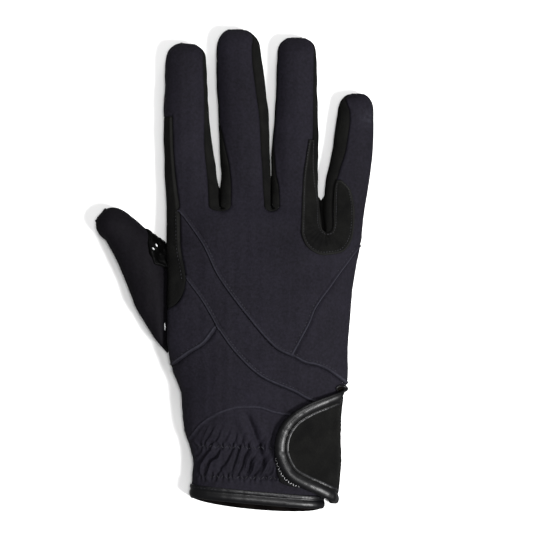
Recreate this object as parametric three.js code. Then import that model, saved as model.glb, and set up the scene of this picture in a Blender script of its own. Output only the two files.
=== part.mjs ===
// A right-hand riding glove, lying on its palm with the back of the hand up.
// Millimetres. +Z is up, the fingers point along +Y and the thumb along -X.
// Every panel is a thin sheet of cloth or suede between sewn edges, and the glove is hollow.
import * as THREE from 'three';
import { mergeVertices } from 'three/addons/utils/BufferGeometryUtils.js';

// Cloth and seams
const wall = 1.2; // stretch cloth with its foam backing
const patchWall = 0.8; // suede patch sewn on the back
const tabWall = 1.8; // closure tab with its hook lining
const seam = 0.3; // clear gap between two sewn edges

// Fingers: width across the root, and length from the root to the tip
const indexWidth = 25.4;
const indexLength = 78.5;
const middleWidth = 24;
const middleLength = 85.5;
const ringWidth = 22.6;
const ringLength = 81.5;
const littleWidth = 19.2;
const littleLength = 67;
const fingerThickness = 13;
const webGap = 0.7; // clear gap between two fingers at the root
const littleGap = 2.2; // the same beside the little finger, which stands apart
const littleDrop = 12.5; // how much lower the little finger starts
const tipRound = 8.5; // length over which a fingertip rounds off
const palmSeamInset = 2.2; // how far under a finger the palm's seam lies
const webDip = 2.4; // how far the back's notch reaches below the end of that gap

// Hand and cuff
const handLength = 135; // from the finger roots to the end of the cloth at the cuff
const handThickness = 21;
const sideHeight = 7; // height of the seam between back and palm
const mouthWidth = 64; // cuff opening, lying flat
const mouthInset = 11.5; // how far the opening's thumb side lies inside the hand's edge
const hemSlant = 5.5; // how much longer the cuff is on the little-finger side
const palmTail = 4; // how much longer the palm is than the back at the cuff

// Thumb
const thumbReach = 34; // how far the thumb stands out from the hand's edge
const thumbTip = 9.6; // length over which the thumb's tip rounds off
const thumbTuck = 2; // how far the thumb's top passes under the hand's edge
const thumbRootLength = 57; // length of the hole that the thumb grows from
const thumbRootDrop = 17.9; // from the finger roots down to the top of that hole
const thumbThickness = 15;
const thumbArch = 12.5; // height of the hand's edge above the thumb

// Edge bindings and closure
const bindingWidth = 5; // leather binding, measured along the cloth
const bindingThickness = 2.8;
const tabBindingWidth = 4.8;
const tabBindingThickness = 3;
const tabRise = 49.6; // from the end of the cloth at the cuff up to the tab's upper corner
const tabLength = 53; // along the hand's edge
const tabReach = 33; // from the hand's edge over the back to the tab's nose
const tabFlare = 5.2; // how far the tab swings clear of the cuff at its lower corner
const tabStraight = 10; // length below its upper corner that doesn't swing
const tabTuck = 5.5; // how far the tab wraps under the palm
const hemFade = 14; // over this length the palm rises to the middle of the cuff's binding
const loopWidth = 24.4; // loop patch under the tab
const loopLength = 32;
const loopSide = 22.5; // from the cuff's little-finger side to the patch's far edge
const loopRise = 0.63; // share of the tab's length down to the patch's middle

// Gathers of the elastic wrist
const gatherPitch = 6;
const gatherDepth = 0.9; // half the height of a fold

// Small helpers
const lerp = (from, to, t) => from + (to - from) * t;
const clamp = (v, low, high) => Math.min(high, Math.max(low, v));
const ease = (t) => {
  const c = clamp(t, 0, 1);
  return c * c * (3 - 2 * c);
};
// A rounded section: 1 in the middle, 0 at a = 1. A larger power gives a boxier section.
const arch = (a, power) => (1 - Math.min(1, Math.abs(a)) ** power) ** (1 / power);

// Smooth curve through one column of a table, without overshoot.
function column(rows, key, value) {
  const t = rows.map((row) => row[key]);
  const v = rows.map((row) => row[value]);
  const slope = t.slice(1).map((_, i) => (v[i + 1] - v[i]) / (t[i + 1] - t[i]));
  const tangent = t.map((_, i) => {
    if (i === 0) return slope[0];
    if (i === t.length - 1) return slope[i - 1];
    if (slope[i - 1] * slope[i] <= 0) return 0;
    return (2 * slope[i - 1] * slope[i]) / (slope[i - 1] + slope[i]);
  });
  return (at) => {
    const x = clamp(at, t[0], t[t.length - 1]);
    let i = 0;
    while (i < t.length - 2 && x > t[i + 1]) i += 1;
    const h = t[i + 1] - t[i];
    const s = (x - t[i]) / h;
    return (
      v[i] * (1 + 2 * s) * (1 - s) ** 2 +
      h * tangent[i] * s * (1 - s) ** 2 +
      v[i + 1] * s * s * (3 - 2 * s) -
      h * tangent[i + 1] * s * s * (1 - s)
    );
  };
}

// Fingers. A row stands at a share of the length from the root.
// left and right are the edges from the root's middle, seamLeft and seamRight how far
// the back's seam lies inside them, all as shares of the finger's width.
const indexRows = [
  { at: 0, left: -0.5, right: 0.5, seamLeft: 0.24, seamRight: 0.2 },
  { at: 0.14, left: -0.528, right: 0.472, seamLeft: 0.208, seamRight: 0.18 },
  { at: 0.33, left: -0.551, right: 0.387, seamLeft: 0.179, seamRight: 0.15 },
  { at: 0.53, left: -0.557, right: 0.31, seamLeft: 0.165, seamRight: 0.075 },
  { at: 0.6, left: -0.554, right: 0.296, seamLeft: 0.16, seamRight: 0.06 },
  { at: 0.74, left: -0.538, right: 0.272, seamLeft: 0.16, seamRight: 0.05 },
  { at: 0.9, left: -0.519, right: 0.25, seamLeft: 0.16, seamRight: 0.045 },
  { at: 1, left: -0.49, right: 0.217, seamLeft: 0.16, seamRight: 0 },
];
const middleRows = [
  { at: 0, left: -0.5, right: 0.5, seamLeft: 0.2, seamRight: 0.12 },
  { at: 0.1, left: -0.5, right: 0.5, seamLeft: 0.2, seamRight: 0.14 },
  { at: 0.2, left: -0.5, right: 0.498, seamLeft: 0.17, seamRight: 0.15 },
  { at: 0.3, left: -0.52, right: 0.482, seamLeft: 0.12, seamRight: 0.16 },
  { at: 0.4, left: -0.536, right: 0.475, seamLeft: 0.06, seamRight: 0.17 },
  { at: 0.5, left: -0.545, right: 0.465, seamLeft: 0, seamRight: 0.18 },
  { at: 0.6, left: -0.565, right: 0.425, seamLeft: 0, seamRight: 0.19 },
  { at: 0.77, left: -0.59, right: 0.355, seamLeft: 0, seamRight: 0.2 },
  { at: 0.9, left: -0.58, right: 0.285, seamLeft: 0, seamRight: 0.15 },
  { at: 1, left: -0.54, right: 0.2, seamLeft: 0, seamRight: 0 },
];
const ringRows = [
  { at: -0.153, left: -0.5, right: 0.58, seamLeft: 0.15, seamRight: 0.12 },
  { at: -0.05, left: -0.5, right: 0.53, seamLeft: 0.15, seamRight: 0.1 },
  { at: 0, left: -0.5, right: 0.5, seamLeft: 0.15, seamRight: 0.07 },
  { at: 0.1, left: -0.505, right: 0.485, seamLeft: 0.14, seamRight: 0.08 },
  { at: 0.2, left: -0.515, right: 0.48, seamLeft: 0.08, seamRight: 0.12 },
  { at: 0.3, left: -0.515, right: 0.49, seamLeft: 0.05, seamRight: 0.14 },
  { at: 0.41, left: -0.48, right: 0.495, seamLeft: 0, seamRight: 0.115 },
  { at: 0.55, left: -0.44, right: 0.48, seamLeft: 0, seamRight: 0.09 },
  { at: 0.75, left: -0.405, right: 0.462, seamLeft: 0, seamRight: 0.065 },
  { at: 0.9, left: -0.39, right: 0.45, seamLeft: 0, seamRight: 0.045 },
  { at: 1, left: -0.37, right: 0.415, seamLeft: 0, seamRight: 0 },
];
const littleRows = [
  { at: 0, left: -0.45, right: 0.46, seamLeft: 0.2, seamRight: 0 },
  { at: 0.17, left: -0.49, right: 0.54, seamLeft: 0.21, seamRight: 0 },
  { at: 0.3, left: -0.47, right: 0.615, seamLeft: 0.23, seamRight: 0 },
  { at: 0.46, left: -0.375, right: 0.69, seamLeft: 0.28, seamRight: 0 },
  { at: 0.57, left: -0.285, right: 0.735, seamLeft: 0.31, seamRight: 0 },
  { at: 0.75, left: -0.2, right: 0.755, seamLeft: 0.33, seamRight: 0 },
  { at: 0.88, left: -0.13, right: 0.75, seamLeft: 0.26, seamRight: 0 },
  { at: 1, left: -0.07, right: 0.72, seamLeft: 0, seamRight: 0 },
];
const fingers = [
  { rows: indexRows, width: indexWidth, length: indexLength, gap: 0, drop: 0 },
  { rows: middleRows, width: middleWidth, length: middleLength, gap: webGap, drop: 0 },
  { rows: ringRows, width: ringWidth, length: ringLength, gap: webGap, drop: 0 },
  { rows: littleRows, width: littleWidth, length: littleLength, gap: littleGap, drop: littleDrop },
];
let rootEnd = 0;
for (const f of fingers) {
  f.rootX = rootEnd + f.gap + f.width / 2;
  f.rootY = -f.drop;
  rootEnd = f.rootX + f.width / 2;
  f.edge = [column(f.rows, 'at', 'left'), column(f.rows, 'at', 'right')];
  f.inset = [column(f.rows, 'at', 'seamLeft'), column(f.rows, 'at', 'seamRight')];
}
const [indexFinger, middleFinger, ringFinger, littleFinger] = fingers;
const knuckleWidth = rootEnd;

// The webs: the gap between two fingers ends in a half circle around x, y.
const webs = [
  { left: indexFinger, right: middleFinger, y: 0 },
  { left: middleFinger, right: ringFinger, y: 0 },
  { left: ringFinger, right: littleFinger, y: -littleDrop },
];
const shareAt = (f, y) => (y - f.rootY) / f.length;
const fingerEdge = (f, side, y) => f.rootX + f.width * f.edge[side](shareAt(f, y));
for (const w of webs) {
  const gap = [fingerEdge(w.left, 1, w.y), fingerEdge(w.right, 0, w.y)];
  w.x = (gap[0] + gap[1]) / 2;
  w.radius = (gap[1] - gap[0]) / 2;
  w.left.web = { ...w.left.web, right: w };
  w.right.web = { ...w.right.web, left: w };
}

const fingerMid = 0.45 * fingerThickness;
function fingerSection(f, y) {
  const left = fingerEdge(f, 0, y);
  const right = fingerEdge(f, 1, y);
  const thick = fingerThickness * clamp(f.width / middleWidth, 0.88, 1.05);
  return { middle: (left + right) / 2, half: (right - left) / 2, rise: thick - fingerMid };
}

// How far a seam lies inside the finger's edge, on the back and on the palm.
const backInset = (f, side, y) => f.width * f.inset[side](shareAt(f, y));
const palmInset = (f, side) => ((side ? f.web.right : f.web.left) ? palmSeamInset : 0);

// Hand. down is a share of the hand's length, left a share of the mouth's inset,
// right a share of the narrowing on the little-finger side, crown one of the thickness.
const handRows = [
  { down: 0, left: 0, right: 0, crown: 0.82 },
  { down: 0.092, left: 0, right: 0, crown: 0.87 },
  { down: 0.157, left: 0.0, right: 0.05, crown: 0.91 },
  { down: 0.228, left: 0.05, right: 0.155, crown: 0.95 },
  { down: 0.334, left: 0.03, right: 0.263, crown: 0.99 },
  { down: 0.477, left: 0.04, right: 0.343, crown: 1 },
  { down: 0.537, left: 0.1, right: 0.365, crown: 0.99 },
  { down: 0.584, left: 0.25, right: 0.36, crown: 0.97 },
  { down: 0.637, left: 0.48, right: 0.37, crown: 0.95 },
  { down: 0.669, left: 0.61, right: 0.485, crown: 0.93 },
  { down: 0.726, left: 0.667, right: 0.61, crown: 0.9 },
  { down: 0.797, left: 0.75, right: 0.7, crown: 0.86 },
  { down: 0.868, left: 1, right: 0.78, crown: 0.83 },
  { down: 0.922, left: 1.13, right: 0.85, crown: 0.83 },
  { down: 0.975, left: 1.07, right: 0.93, crown: 0.85 },
  { down: 1.03, left: 1, right: 1, crown: 0.87 },
];
const handLeft = column(handRows, 'down', 'left');
const handRight = column(handRows, 'down', 'right');
const handCrown = column(handRows, 'down', 'crown');
const mouthRight = mouthInset + mouthWidth;
const thumbTopY = -thumbRootDrop;
const thumbLowY = thumbTopY - thumbRootLength;

// Where y lies in the thumb's hole: -1 at its lower end, 1 at its top.
const holeShare = (y) => clamp((2 * (y - thumbLowY)) / thumbRootLength - 1, -1, 1);

function handSection(y) {
  const down = -y / handLength;
  const littleRoot = littleFinger.rootX + littleFinger.width * littleFinger.edge[1](0);
  const left = y > 0 ? fingerEdge(indexFinger, 0, y) : mouthInset * handLeft(down);
  const right =
    y > littleFinger.rootY
      ? fingerEdge(littleFinger, 1, y)
      : lerp(littleRoot, mouthRight, handRight(down));
  const hole = arch(holeShare(y), 2);
  return {
    middle: (left + right) / 2,
    half: (right - left) / 2,
    left,
    right,
    crown: handThickness * handCrown(down),
    leftSide: lerp(sideHeight, thumbArch, hole),
    palmLeft: lerp(sideHeight, 0, hole),
  };
}

const fingerPower = 2.1;
const handPower = 2.5;
const flatPower = 4.5; // the underside is flattened by what it rests on
const blendAbove = 14; // over this length above a web a finger takes on the hand's form
const blendBelow = 9;

function shareOfHand(f, y, across) {
  const leftLevel = f.web.left ? f.web.left.y : f.rootY;
  const rightLevel = f.web.right ? f.web.right.y : f.rootY;
  const level = lerp(leftLevel, rightLevel, (across + 1) / 2);
  return ease((blendAbove - (y - level)) / (blendAbove + blendBelow));
}

const ownerOf = (x) => fingers.find((f) => !f.web.right || x < f.web.right.x) || littleFinger;

// A point of the back at a plan position, sunk by depth below its outer face. Where the
// back ends at the hand's outline its edge stands lift above the middle of the seam.
function backPoint(x, y, depth, f = ownerOf(x), lift = seam / 2) {
  const s = fingerSection(f, y);
  const a = clamp((x - s.middle) / s.half, -1, 1);
  const h = handSection(y);
  const ah = clamp((x - h.middle) / h.half, -1, 1);
  const side = lerp(h.leftSide, sideHeight, (ah + 1) / 2) + lift;
  const mid = fingerMid + lift;
  const hand = shareOfHand(f, y, a);
  const zFinger = mid + (fingerMid + s.rise - mid - depth) * arch(a, fingerPower);
  const zHand = side + (h.crown - side - depth) * arch(ah, handPower);
  return [x - depth * lerp(a, ah, hand), y, lerp(zFinger, zHand, hand)];
}

// Palm side: how high its edge stands, and where the tab's wrap takes over from it.
const tabTop = tabRise - handLength;
const inTab = (y) => ease((tabTop + 1 - y) / 5);
const hemLift = (y) => (bindingThickness - wall) * 0.5 * ease((hemFade - y - handLength) / (hemFade - 2));

const flatShare = 0.62; // this much of the underside lies truly flat
const flatArch = (a) => Math.min(1, arch(a, flatPower) / arch(flatShare, flatPower));
function palmPoint(x, y, depth, f = ownerOf(x), lift = seam / 2) {
  const s = fingerSection(f, y);
  const a = clamp((x - s.middle) / s.half, -1, 1);
  const h = handSection(y);
  const ah = clamp((x - h.middle) / h.half, -1, 1);
  const hand = shareOfHand(f, y, a);
  const flat = [flatArch(a), flatArch(ah)];
  const side = ah < 0 ? h.palmLeft : sideHeight * (1 - inTab(y));
  const lying = Math.max(flat[1], 1 - side / sideHeight);
  const zFinger = (fingerMid - lift) * (1 - flat[0]) + depth * flat[0];
  const zHand = Math.max(0, side - lift) * (1 - flat[1]) + depth * lying;
  const inward = lerp(a * (1 - flat[0]), ah * (1 - lying), hand);
  return [x - depth * inward, y, lerp(zFinger, zHand + hemLift(y) * lying, hand)];
}

// A closed sheet from blocks of (u, v) grids. point(u, v, skin) gives the outer face for
// skin 0 and the inner one for skin 1. Blocks that share an edge are sewn together there.
function sheet(blocks) {
  const index = new Map();
  const outer = [];
  const inner = [];
  const quads = [];
  for (const { point, columns, rows } of blocks) {
    const ids = [];
    for (let j = 0; j <= rows; j += 1) {
      for (let i = 0; i <= columns; i += 1) {
        const p = point(i / columns, j / rows, 0);
        const name = p.map((c) => Math.round(c * 2000)).join();
        if (!index.has(name)) {
          index.set(name, outer.length);
          outer.push(p);
          inner.push(point(i / columns, j / rows, 1));
        }
        ids.push(index.get(name));
      }
    }
    for (let j = 0; j < rows; j += 1) {
      for (let i = 0; i < columns; i += 1) {
        const at = j * (columns + 1) + i;
        quads.push([ids[at], ids[at + 1], ids[at + columns + 2], ids[at + columns + 1]]);
      }
    }
  }
  const faces = [];
  const edges = new Set();
  const n = outer.length;
  for (const [a, b, c, d] of quads) {
    faces.push([a, b, c], [a, c, d], [n + c, n + b, n + a], [n + d, n + c, n + a]);
    for (const [p, q] of [[a, b], [b, c], [c, d], [d, a]]) edges.add(`${p}_${q}`);
  }
  for (const edge of edges) {
    const [p, q] = edge.split('_').map(Number);
    if (!edges.has(`${q}_${p}`)) faces.push([q, p, n + p], [q, n + p, n + q]);
  }
  return solidFrom([...outer, ...inner], faces);
}

// Geometry with its faces turned outwards.
function solidFrom(points, faces) {
  let volume = 0;
  const p = points.map((v) => new THREE.Vector3(...v));
  for (const [a, b, c] of faces) volume += p[a].dot(p[b].clone().cross(p[c]));
  const order = volume < 0 ? [0, 2, 1] : [0, 1, 2];
  const flat = faces.flatMap((f) => order.flatMap((k) => p[f[k]].toArray()));
  const geometry = new THREE.BufferGeometry();
  geometry.setAttribute('position', new THREE.Float32BufferAttribute(flat, 3));
  return mergeVertices(geometry, 1e-4);
}

// A tube around a path. ring(t) gives its points, and a closed path joins its own start.
function tube(ring, steps, closed) {
  const rings = [];
  for (let i = 0; i < steps + (closed ? 0 : 1); i += 1) rings.push(ring(i / steps));
  const sides = rings[0].length;
  const faces = [];
  for (let i = 0; i < steps; i += 1) {
    const next = (i + 1) % rings.length;
    for (let j = 0; j < sides; j += 1) {
      const k = (j + 1) % sides;
      const [a, b, c, d] = [i * sides + j, i * sides + k, next * sides + k, next * sides + j];
      faces.push([a, b, c], [a, c, d]);
    }
  }
  if (!closed) {
    const last = (rings.length - 1) * sides;
    for (let j = 1; j < sides - 1; j += 1) {
      faces.push([0, j + 1, j], [last, last + j, last + j + 1]);
    }
  }
  return solidFrom(rings.flat(), faces);
}

// Fingers in the sheets. Stations run from the tip (0) to the root (1); the first rows
// round the tip, where the seams run together.
const capRows = 4;
const bodyRows = 8;
const tipShare = capRows / (capRows + bodyRows);
const tipPower = 2.4;
const tipFlat = 0.3; // half width of the tip's straight end, as a share of the finger's
const capY = (f) => f.rootY + f.length - tipRound;
const sign = (side) => (side ? 1 : -1);

// Share across the finger, -1 to 1, of a seam held half a gap back from its own line.
function seamShare(f, side, y, inset) {
  const held = inset + (seam / 2) * clamp(inset, 0, 1);
  return sign(side) * Math.max(0, 1 - held / fingerSection(f, y).half);
}

function capPoint(f, v, a, depth, face, lift = seam / 2) {
  const turn = (Math.PI / 2) * (1 - v / tipShare);
  const s = fingerSection(f, capY(f) + tipRound * Math.sin(turn));
  const faded = Math.sign(a) * (1 - (1 - Math.abs(a)) * (1 - Math.sin(turn)));
  const round = (1 - Math.sin(turn) ** tipPower) ** (1 / tipPower);
  const x = s.middle + (s.half - depth) * Math.max(tipFlat, round) * faded;
  const y = capY(f) + (tipRound - depth) * Math.sin(turn);
  const high = Math.cos(turn);
  const up = fingerMid + lift + (s.rise - lift - depth) * high * arch(faded, fingerPower);
  const down = fingerMid - lift - (fingerMid - lift - depth) * high * flatArch(faded);
  return [x, y, face > 0 ? up : down];
}

// Sheet along a finger between two lines; share(side, y) says where they run across it.
function strip(f, share, levels, face) {
  return (u, v, depth) => {
    const lineAt = (y) => [0, 1].map((side) => Math.acos(clamp(share(side, y), -1, 1)));
    if (v < tipShare - 1e-6) {
      const [from, to] = lineAt(capY(f));
      return capPoint(f, v, Math.cos(lerp(from, to, u)), depth, face);
    }
    const t = (v - tipShare) / (1 - tipShare);
    const root = lerp(levels[0], levels[1], u);
    const y = lerp(capY(f), root, t);
    const s = fingerSection(f, y);
    const [from, to] = lineAt(y);
    const x = s.middle + s.half * Math.cos(lerp(from, to, u));
    return (face > 0 ? backPoint : palmPoint)(x, y, depth, f);
  };
}

const withDepth = (point, thick = wall) => (u, v, skin) => point(u, v, skin * thick);

// Plan curves across the hand. side is the suede side panel's seam.
const stripRows = [
  { down: 0, inset: 0.24 },
  { down: 0.026, inset: 0.25 },
  { down: 0.12, inset: 0.255 },
  { down: 0.19, inset: 0.29 },
  { down: 0.263, inset: 0.345 },
];
const stripInset = column(stripRows, 'down', 'inset');
const panelEndDown = stripRows[stripRows.length - 1].down;
const panelTipDown = 0.365; // where the panel's point meets the hand's edge
const sideSeamX = (y) => handSection(y).left + indexWidth * stripInset(-y / handLength);

// Seams across the back, as shares of the knuckle width and the hand's length.
const upperSeam = [
  { across: 0.07, down: 0.026 },
  { across: 0.18, down: 0.139 },
  { across: 0.263, down: 0.257 },
  { across: 0.407, down: 0.394 },
  { across: 0.541, down: 0.501 },
  { across: 0.64, down: 0.537 },
];
const upperSeamEnd = [
  { across: 0.64, down: 0.537 },
  { across: 0.7, down: 0.56 },
  { across: 0.759, down: 0.569 },
  { across: 0.826, down: 0.59 },
  { across: 0.91, down: 0.64 },
];
const lowerSeam = [
  { across: 0.1, down: panelEndDown },
  { across: 0.18, down: 0.341 },
  { across: 0.256, down: 0.435 },
];
const lowerSeamEnd = [
  { across: 0.256, down: 0.435 },
  { across: 0.348, down: 0.524 },
  { across: 0.474, down: 0.607 },
  { across: 0.641, down: 0.661 },
  { across: 0.717, down: 0.69 },
  { across: 0.86, down: 0.735 },
];
const thumbSeam = [
  { across: 0.035, down: 0.573 },
  { across: 0.121, down: 0.524 },
  { across: 0.196, down: 0.49 },
  { across: 0.256, down: 0.435 },
];
const littleSeam = [
  { across: 0.64, down: 0.537 },
  { across: 0.722, down: 0.431 },
  { across: 0.772, down: 0.354 },
  { across: 0.89, down: 0.237 },
  { across: 0.975, down: 0.152 },
];
const panelEnd = [
  { across: 0, down: panelTipDown },
  { across: 0.045, down: 0.352 },
  { across: 0.08, down: 0.318 },
  { across: 0.1, down: panelEndDown },
];

function seamCurve(rows, start, end) {
  const points = rows.map((r) => new THREE.Vector2(r.across * knuckleWidth, -r.down * handLength));
  const ends = { side: sideSeamX, left: (y) => handSection(y).left };
  ends.right = (y) => handSection(y).right;
  const last = points[points.length - 1];
  if (ends[start]) points[0].x = ends[start](points[0].y);
  if (ends[end]) last.x = ends[end](last.y);
  const curve = new THREE.SplineCurve(points);
  return (t) => curve.getPoint(t).toArray();
}
const upper = seamCurve(upperSeam, 'side');
const upperEnd = seamCurve(upperSeamEnd, '', 'right');
const lower = seamCurve(lowerSeam, 'side');
const lowerEnd = seamCurve(lowerSeamEnd, '', 'right');
const thumbLine = seamCurve(thumbSeam, 'left');
const littleLine = seamCurve(littleSeam, '', 'right');
const panelLine = seamCurve(panelEnd, 'left', 'side');
const join = (first, second, at) => (t) =>
  t < at ? first(t / at) : second((t - at) / (1 - at));
const part = (curve, from, to) => (t) => curve(lerp(from, to, t));
const straight = (a, b) => (t) => [lerp(a[0], b[0], t), lerp(a[1], b[1], t)];
const edgeLine = (side, from, to) => (t) => {
  const y = lerp(from, to, t);
  return [handSection(y)[side], y];
};
const sideLine = (from, to) => (t) => [sideSeamX(lerp(from, to, t)), lerp(from, to, t)];

// Hand coordinates: q goes from 1 at the thumb-side outline to 0 at the other by angle.
const toHand = ([x, y]) => {
  const h = handSection(y);
  return [Math.acos(clamp((x - h.middle) / h.half, -1, 1)) / Math.PI, y];
};
const fromHand = ([q, y]) => {
  const h = handSection(y);
  return [h.middle + h.half * Math.cos(q * Math.PI), y];
};

// A patch between four plan curves, held half a seam back from each sewn one.
function patch(top, bottom, left, right, held = {}) {
  const keep = { top: 1, bottom: 1, left: 1, right: 1, ...held };
  const at = (curve, t) => toHand(curve(t));
  const inside = (u, v) => {
    const [a, b, c, d] = [at(top, u), at(bottom, u), at(left, v), at(right, v)];
    const [p, q, r, s] = [at(top, 0), at(top, 1), at(bottom, 0), at(bottom, 1)];
    return [0, 1].map(
      (k) =>
        lerp(a[k], b[k], v) +
        lerp(c[k], d[k], u) -
        lerp(lerp(p[k], q[k], u), lerp(r[k], s[k], u), v),
    );
  };
  const space = (from, to) => {
    const [f, g] = [fromHand(from), fromHand(to)];
    return clamp((0.7 * seam) / Math.hypot(f[0] - g[0], f[1] - g[1]), 0, 0.2);
  };
  return (u, v) => {
    const eu = space(inside(0, v), inside(1, v));
    const ev = space(inside(u, 0), inside(u, 1));
    const uu = lerp(eu * keep.left, 1 - eu * keep.right, u);
    const vv = lerp(ev * keep.top, 1 - ev * keep.bottom, v);
    return fromHand(inside(uu, vv));
  };
}
const onBack = (plan, relief = () => 0) => (u, v, depth) => {
  const [x, y] = plan(u, v);
  const p = backPoint(x, y, depth);
  p[2] += relief(x, y);
  return p;
};

const materials = {
  stretch: new THREE.MeshStandardMaterial({ color: 0x25252b, roughness: 0.85, metalness: 0 }),
  suede: new THREE.MeshStandardMaterial({ color: 0x1c1c1a, roughness: 0.95, metalness: 0 }),
  binding: new THREE.MeshStandardMaterial({ color: 0x1f1f1f, roughness: 0.35, metalness: 0 }),
  loop: new THREE.MeshStandardMaterial({ color: 0x141414, roughness: 1, metalness: 0 }),
};
const glove = new THREE.Group();
function add(name, geometry, material) {
  const mesh = new THREE.Mesh(geometry, material);
  mesh.name = name;
  glove.add(mesh);
}

// Notches: a seam passes below the end of a gap on half an ellipse, wide by its own inset.
const arcRows = 4;
function notchPoint(w, t, insetLeft, insetRight, dip, held) {
  const turn = Math.PI * t;
  const wide = w.radius + held + (t < 0.5 ? insetLeft : insetRight);
  const deep = w.radius + held + dip;
  return [w.x - wide * Math.cos(turn), w.y - deep * Math.sin(turn)];
}
const backNotch = (w, t, held) =>
  notchPoint(w, t, backInset(w.left, 1, w.y), backInset(w.right, 0, w.y), webDip, held);
const palmNotch = (w, t, held) => notchPoint(w, t, palmSeamInset, palmSeamInset, palmSeamInset, held);

// The four fingers and the hand below them as one panel, ending on a plan curve.
function handPanel(face, insetOf, rootLevels, columns, rows, notch, end, extra = []) {
  const strips = fingers.map((f, i) => {
    const share = (side, y) => seamShare(f, side, y, insetOf(f, side, y));
    return strip(f, share, rootLevels[i], face);
  });
  const top = [];
  strips.forEach((point, i) => {
    for (let k = 0; k <= columns; k += 1) top.push(point(k / columns, 1, 0).slice(0, 2));
    for (let k = 1; k < arcRows && webs[i]; k += 1) top.push(notch(webs[i], k / arcRows, seam / 2));
  });
  const count = top.length - 1;
  const surface = face > 0 ? backPoint : palmPoint;
  const hand = (u, v, depth) => {
    const from = top[Math.round(u * count)];
    const to = end(u);
    const [a, b] = [toHand(from), toHand(to)];
    const t = v * (1 - clamp(seam / 2 / Math.abs(from[1] - to[1]), 0, 0.3));
    const [x, y] = v === 0 ? from : fromHand([lerp(a[0], b[0], t), lerp(a[1], b[1], t)]);
    return surface(x, y, depth);
  };
  const grids = strips.map((point) => ({ point, columns, rows: capRows + bodyRows }));
  grids.push({ point: hand, columns: count, rows });
  return sheet([...grids, ...extra].map((g) => ({ ...g, point: withDepth(g.point) })));
}

// Back of the hand. On the index finger's thumb side it reaches the outline above the
// suede panel, and stops at the panel's seam below it.
const panelTopRow = 3; // rows of the finger's body above the panel
const panelTopShare = panelTopRow / bodyRows;
const backLevels = [
  [-upperSeam[0].down * handLength * 0.7, 0],
  [0, 0],
  [0, -littleDrop],
  [-littleDrop, -littleDrop - 2],
];
const sideShare = (y) => seamShare(indexFinger, 0, y, backInset(indexFinger, 0, y));
const topRows = capRows + panelTopRow;
const sideStrip = strip(indexFinger, (side, y) => (side ? sideShare(y) : -1), backLevels[0], 1);
const rowShare = capRows + bodyRows;
// The row of the main strip's left edge, so that both share it.
const sideAbove = (u, v, depth) => sideStrip(u, (v * topRows) / rowShare, depth);
const mainEnd = join(upper, littleLine, 0.625);
add(
  'back_main',
  handPanel(1, backInset, backLevels, 6, 7, backNotch, mainEnd, [
    { point: sideAbove, columns: 2, rows: topRows },
  ]),
  materials.stretch,
);

// Suede panel down the index finger's thumb side, with a point on the hand's edge.
const panelLevel = backLevels[0][0];
const panelBelow = (u, v, depth) => {
  const share = (side, y) => (side ? sideShare(y) - seam / fingerSection(indexFinger, y).half : -1);
  const from = topRows / rowShare + (v === 0 ? 0.006 : 0);
  const t = lerp(from, 1, v);
  return strip(indexFinger, share, [panelLevel, panelLevel], 1)(u, t, depth);
};
const panelRoot = (u) => panelBelow(u, 1, 0).slice(0, 2);
const panelHeld = sideSeamX(panelLevel) - panelRoot(1)[0];
const panelSeam = (t) => {
  const [x, y] = sideLine(panelLevel, panelLine(1)[1])(t);
  return [x - panelHeld, y];
};
const panelFoot = (t) => [panelLine(t)[0] - panelHeld * t, panelLine(t)[1]];
const panelHand = patch(
  panelRoot,
  panelFoot,
  edgeLine('left', panelLevel, panelLine(0)[1]),
  panelSeam,
  { top: 0, left: 0, right: 0 },
);
add(
  'index_side_panel',
  sheet([
    { point: withDepth(panelBelow), columns: 3, rows: bodyRows - panelTopRow },
    { point: withDepth(onBack(panelHand)), columns: 3, rows: 8 },
  ]),
  materials.suede,
);

// Lower panels of the back
const upperEndY = upperEnd(1)[1];
const lowerEndY = lowerEnd(1)[1];
const littleTopY = littleLine(1)[1];
const band = patch(
  join(upper, upperEnd, 0.65),
  join(lower, lowerEnd, 0.25),
  sideLine(upper(0)[1], lower(0)[1]),
  edgeLine('right', upperEndY, lowerEndY),
  { right: 0 },
);
add('back_band', sheet([{ point: withDepth(onBack(band)), columns: 20, rows: 4 }]), materials.stretch);

const wedgeFrom = 0.07;
const wedge = patch(
  part(littleLine, wedgeFrom, 1),
  part(upperEnd, wedgeFrom, 1),
  straight(littleLine(wedgeFrom), upperEnd(wedgeFrom)),
  edgeLine('right', littleTopY, upperEndY),
  { right: 0 },
);
add('back_ulnar', sheet([{ point: withDepth(onBack(wedge)), columns: 8, rows: 6 }]), materials.stretch);

const gusset = patch(
  panelLine,
  thumbLine,
  edgeLine('left', panelLine(0)[1], thumbLine(0)[1]),
  lower,
  { left: 0 },
);
add(
  'back_thumb_gusset',
  sheet([{ point: withDepth(onBack(gusset)), columns: 6, rows: 6 }]),
  materials.stretch,
);

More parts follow.
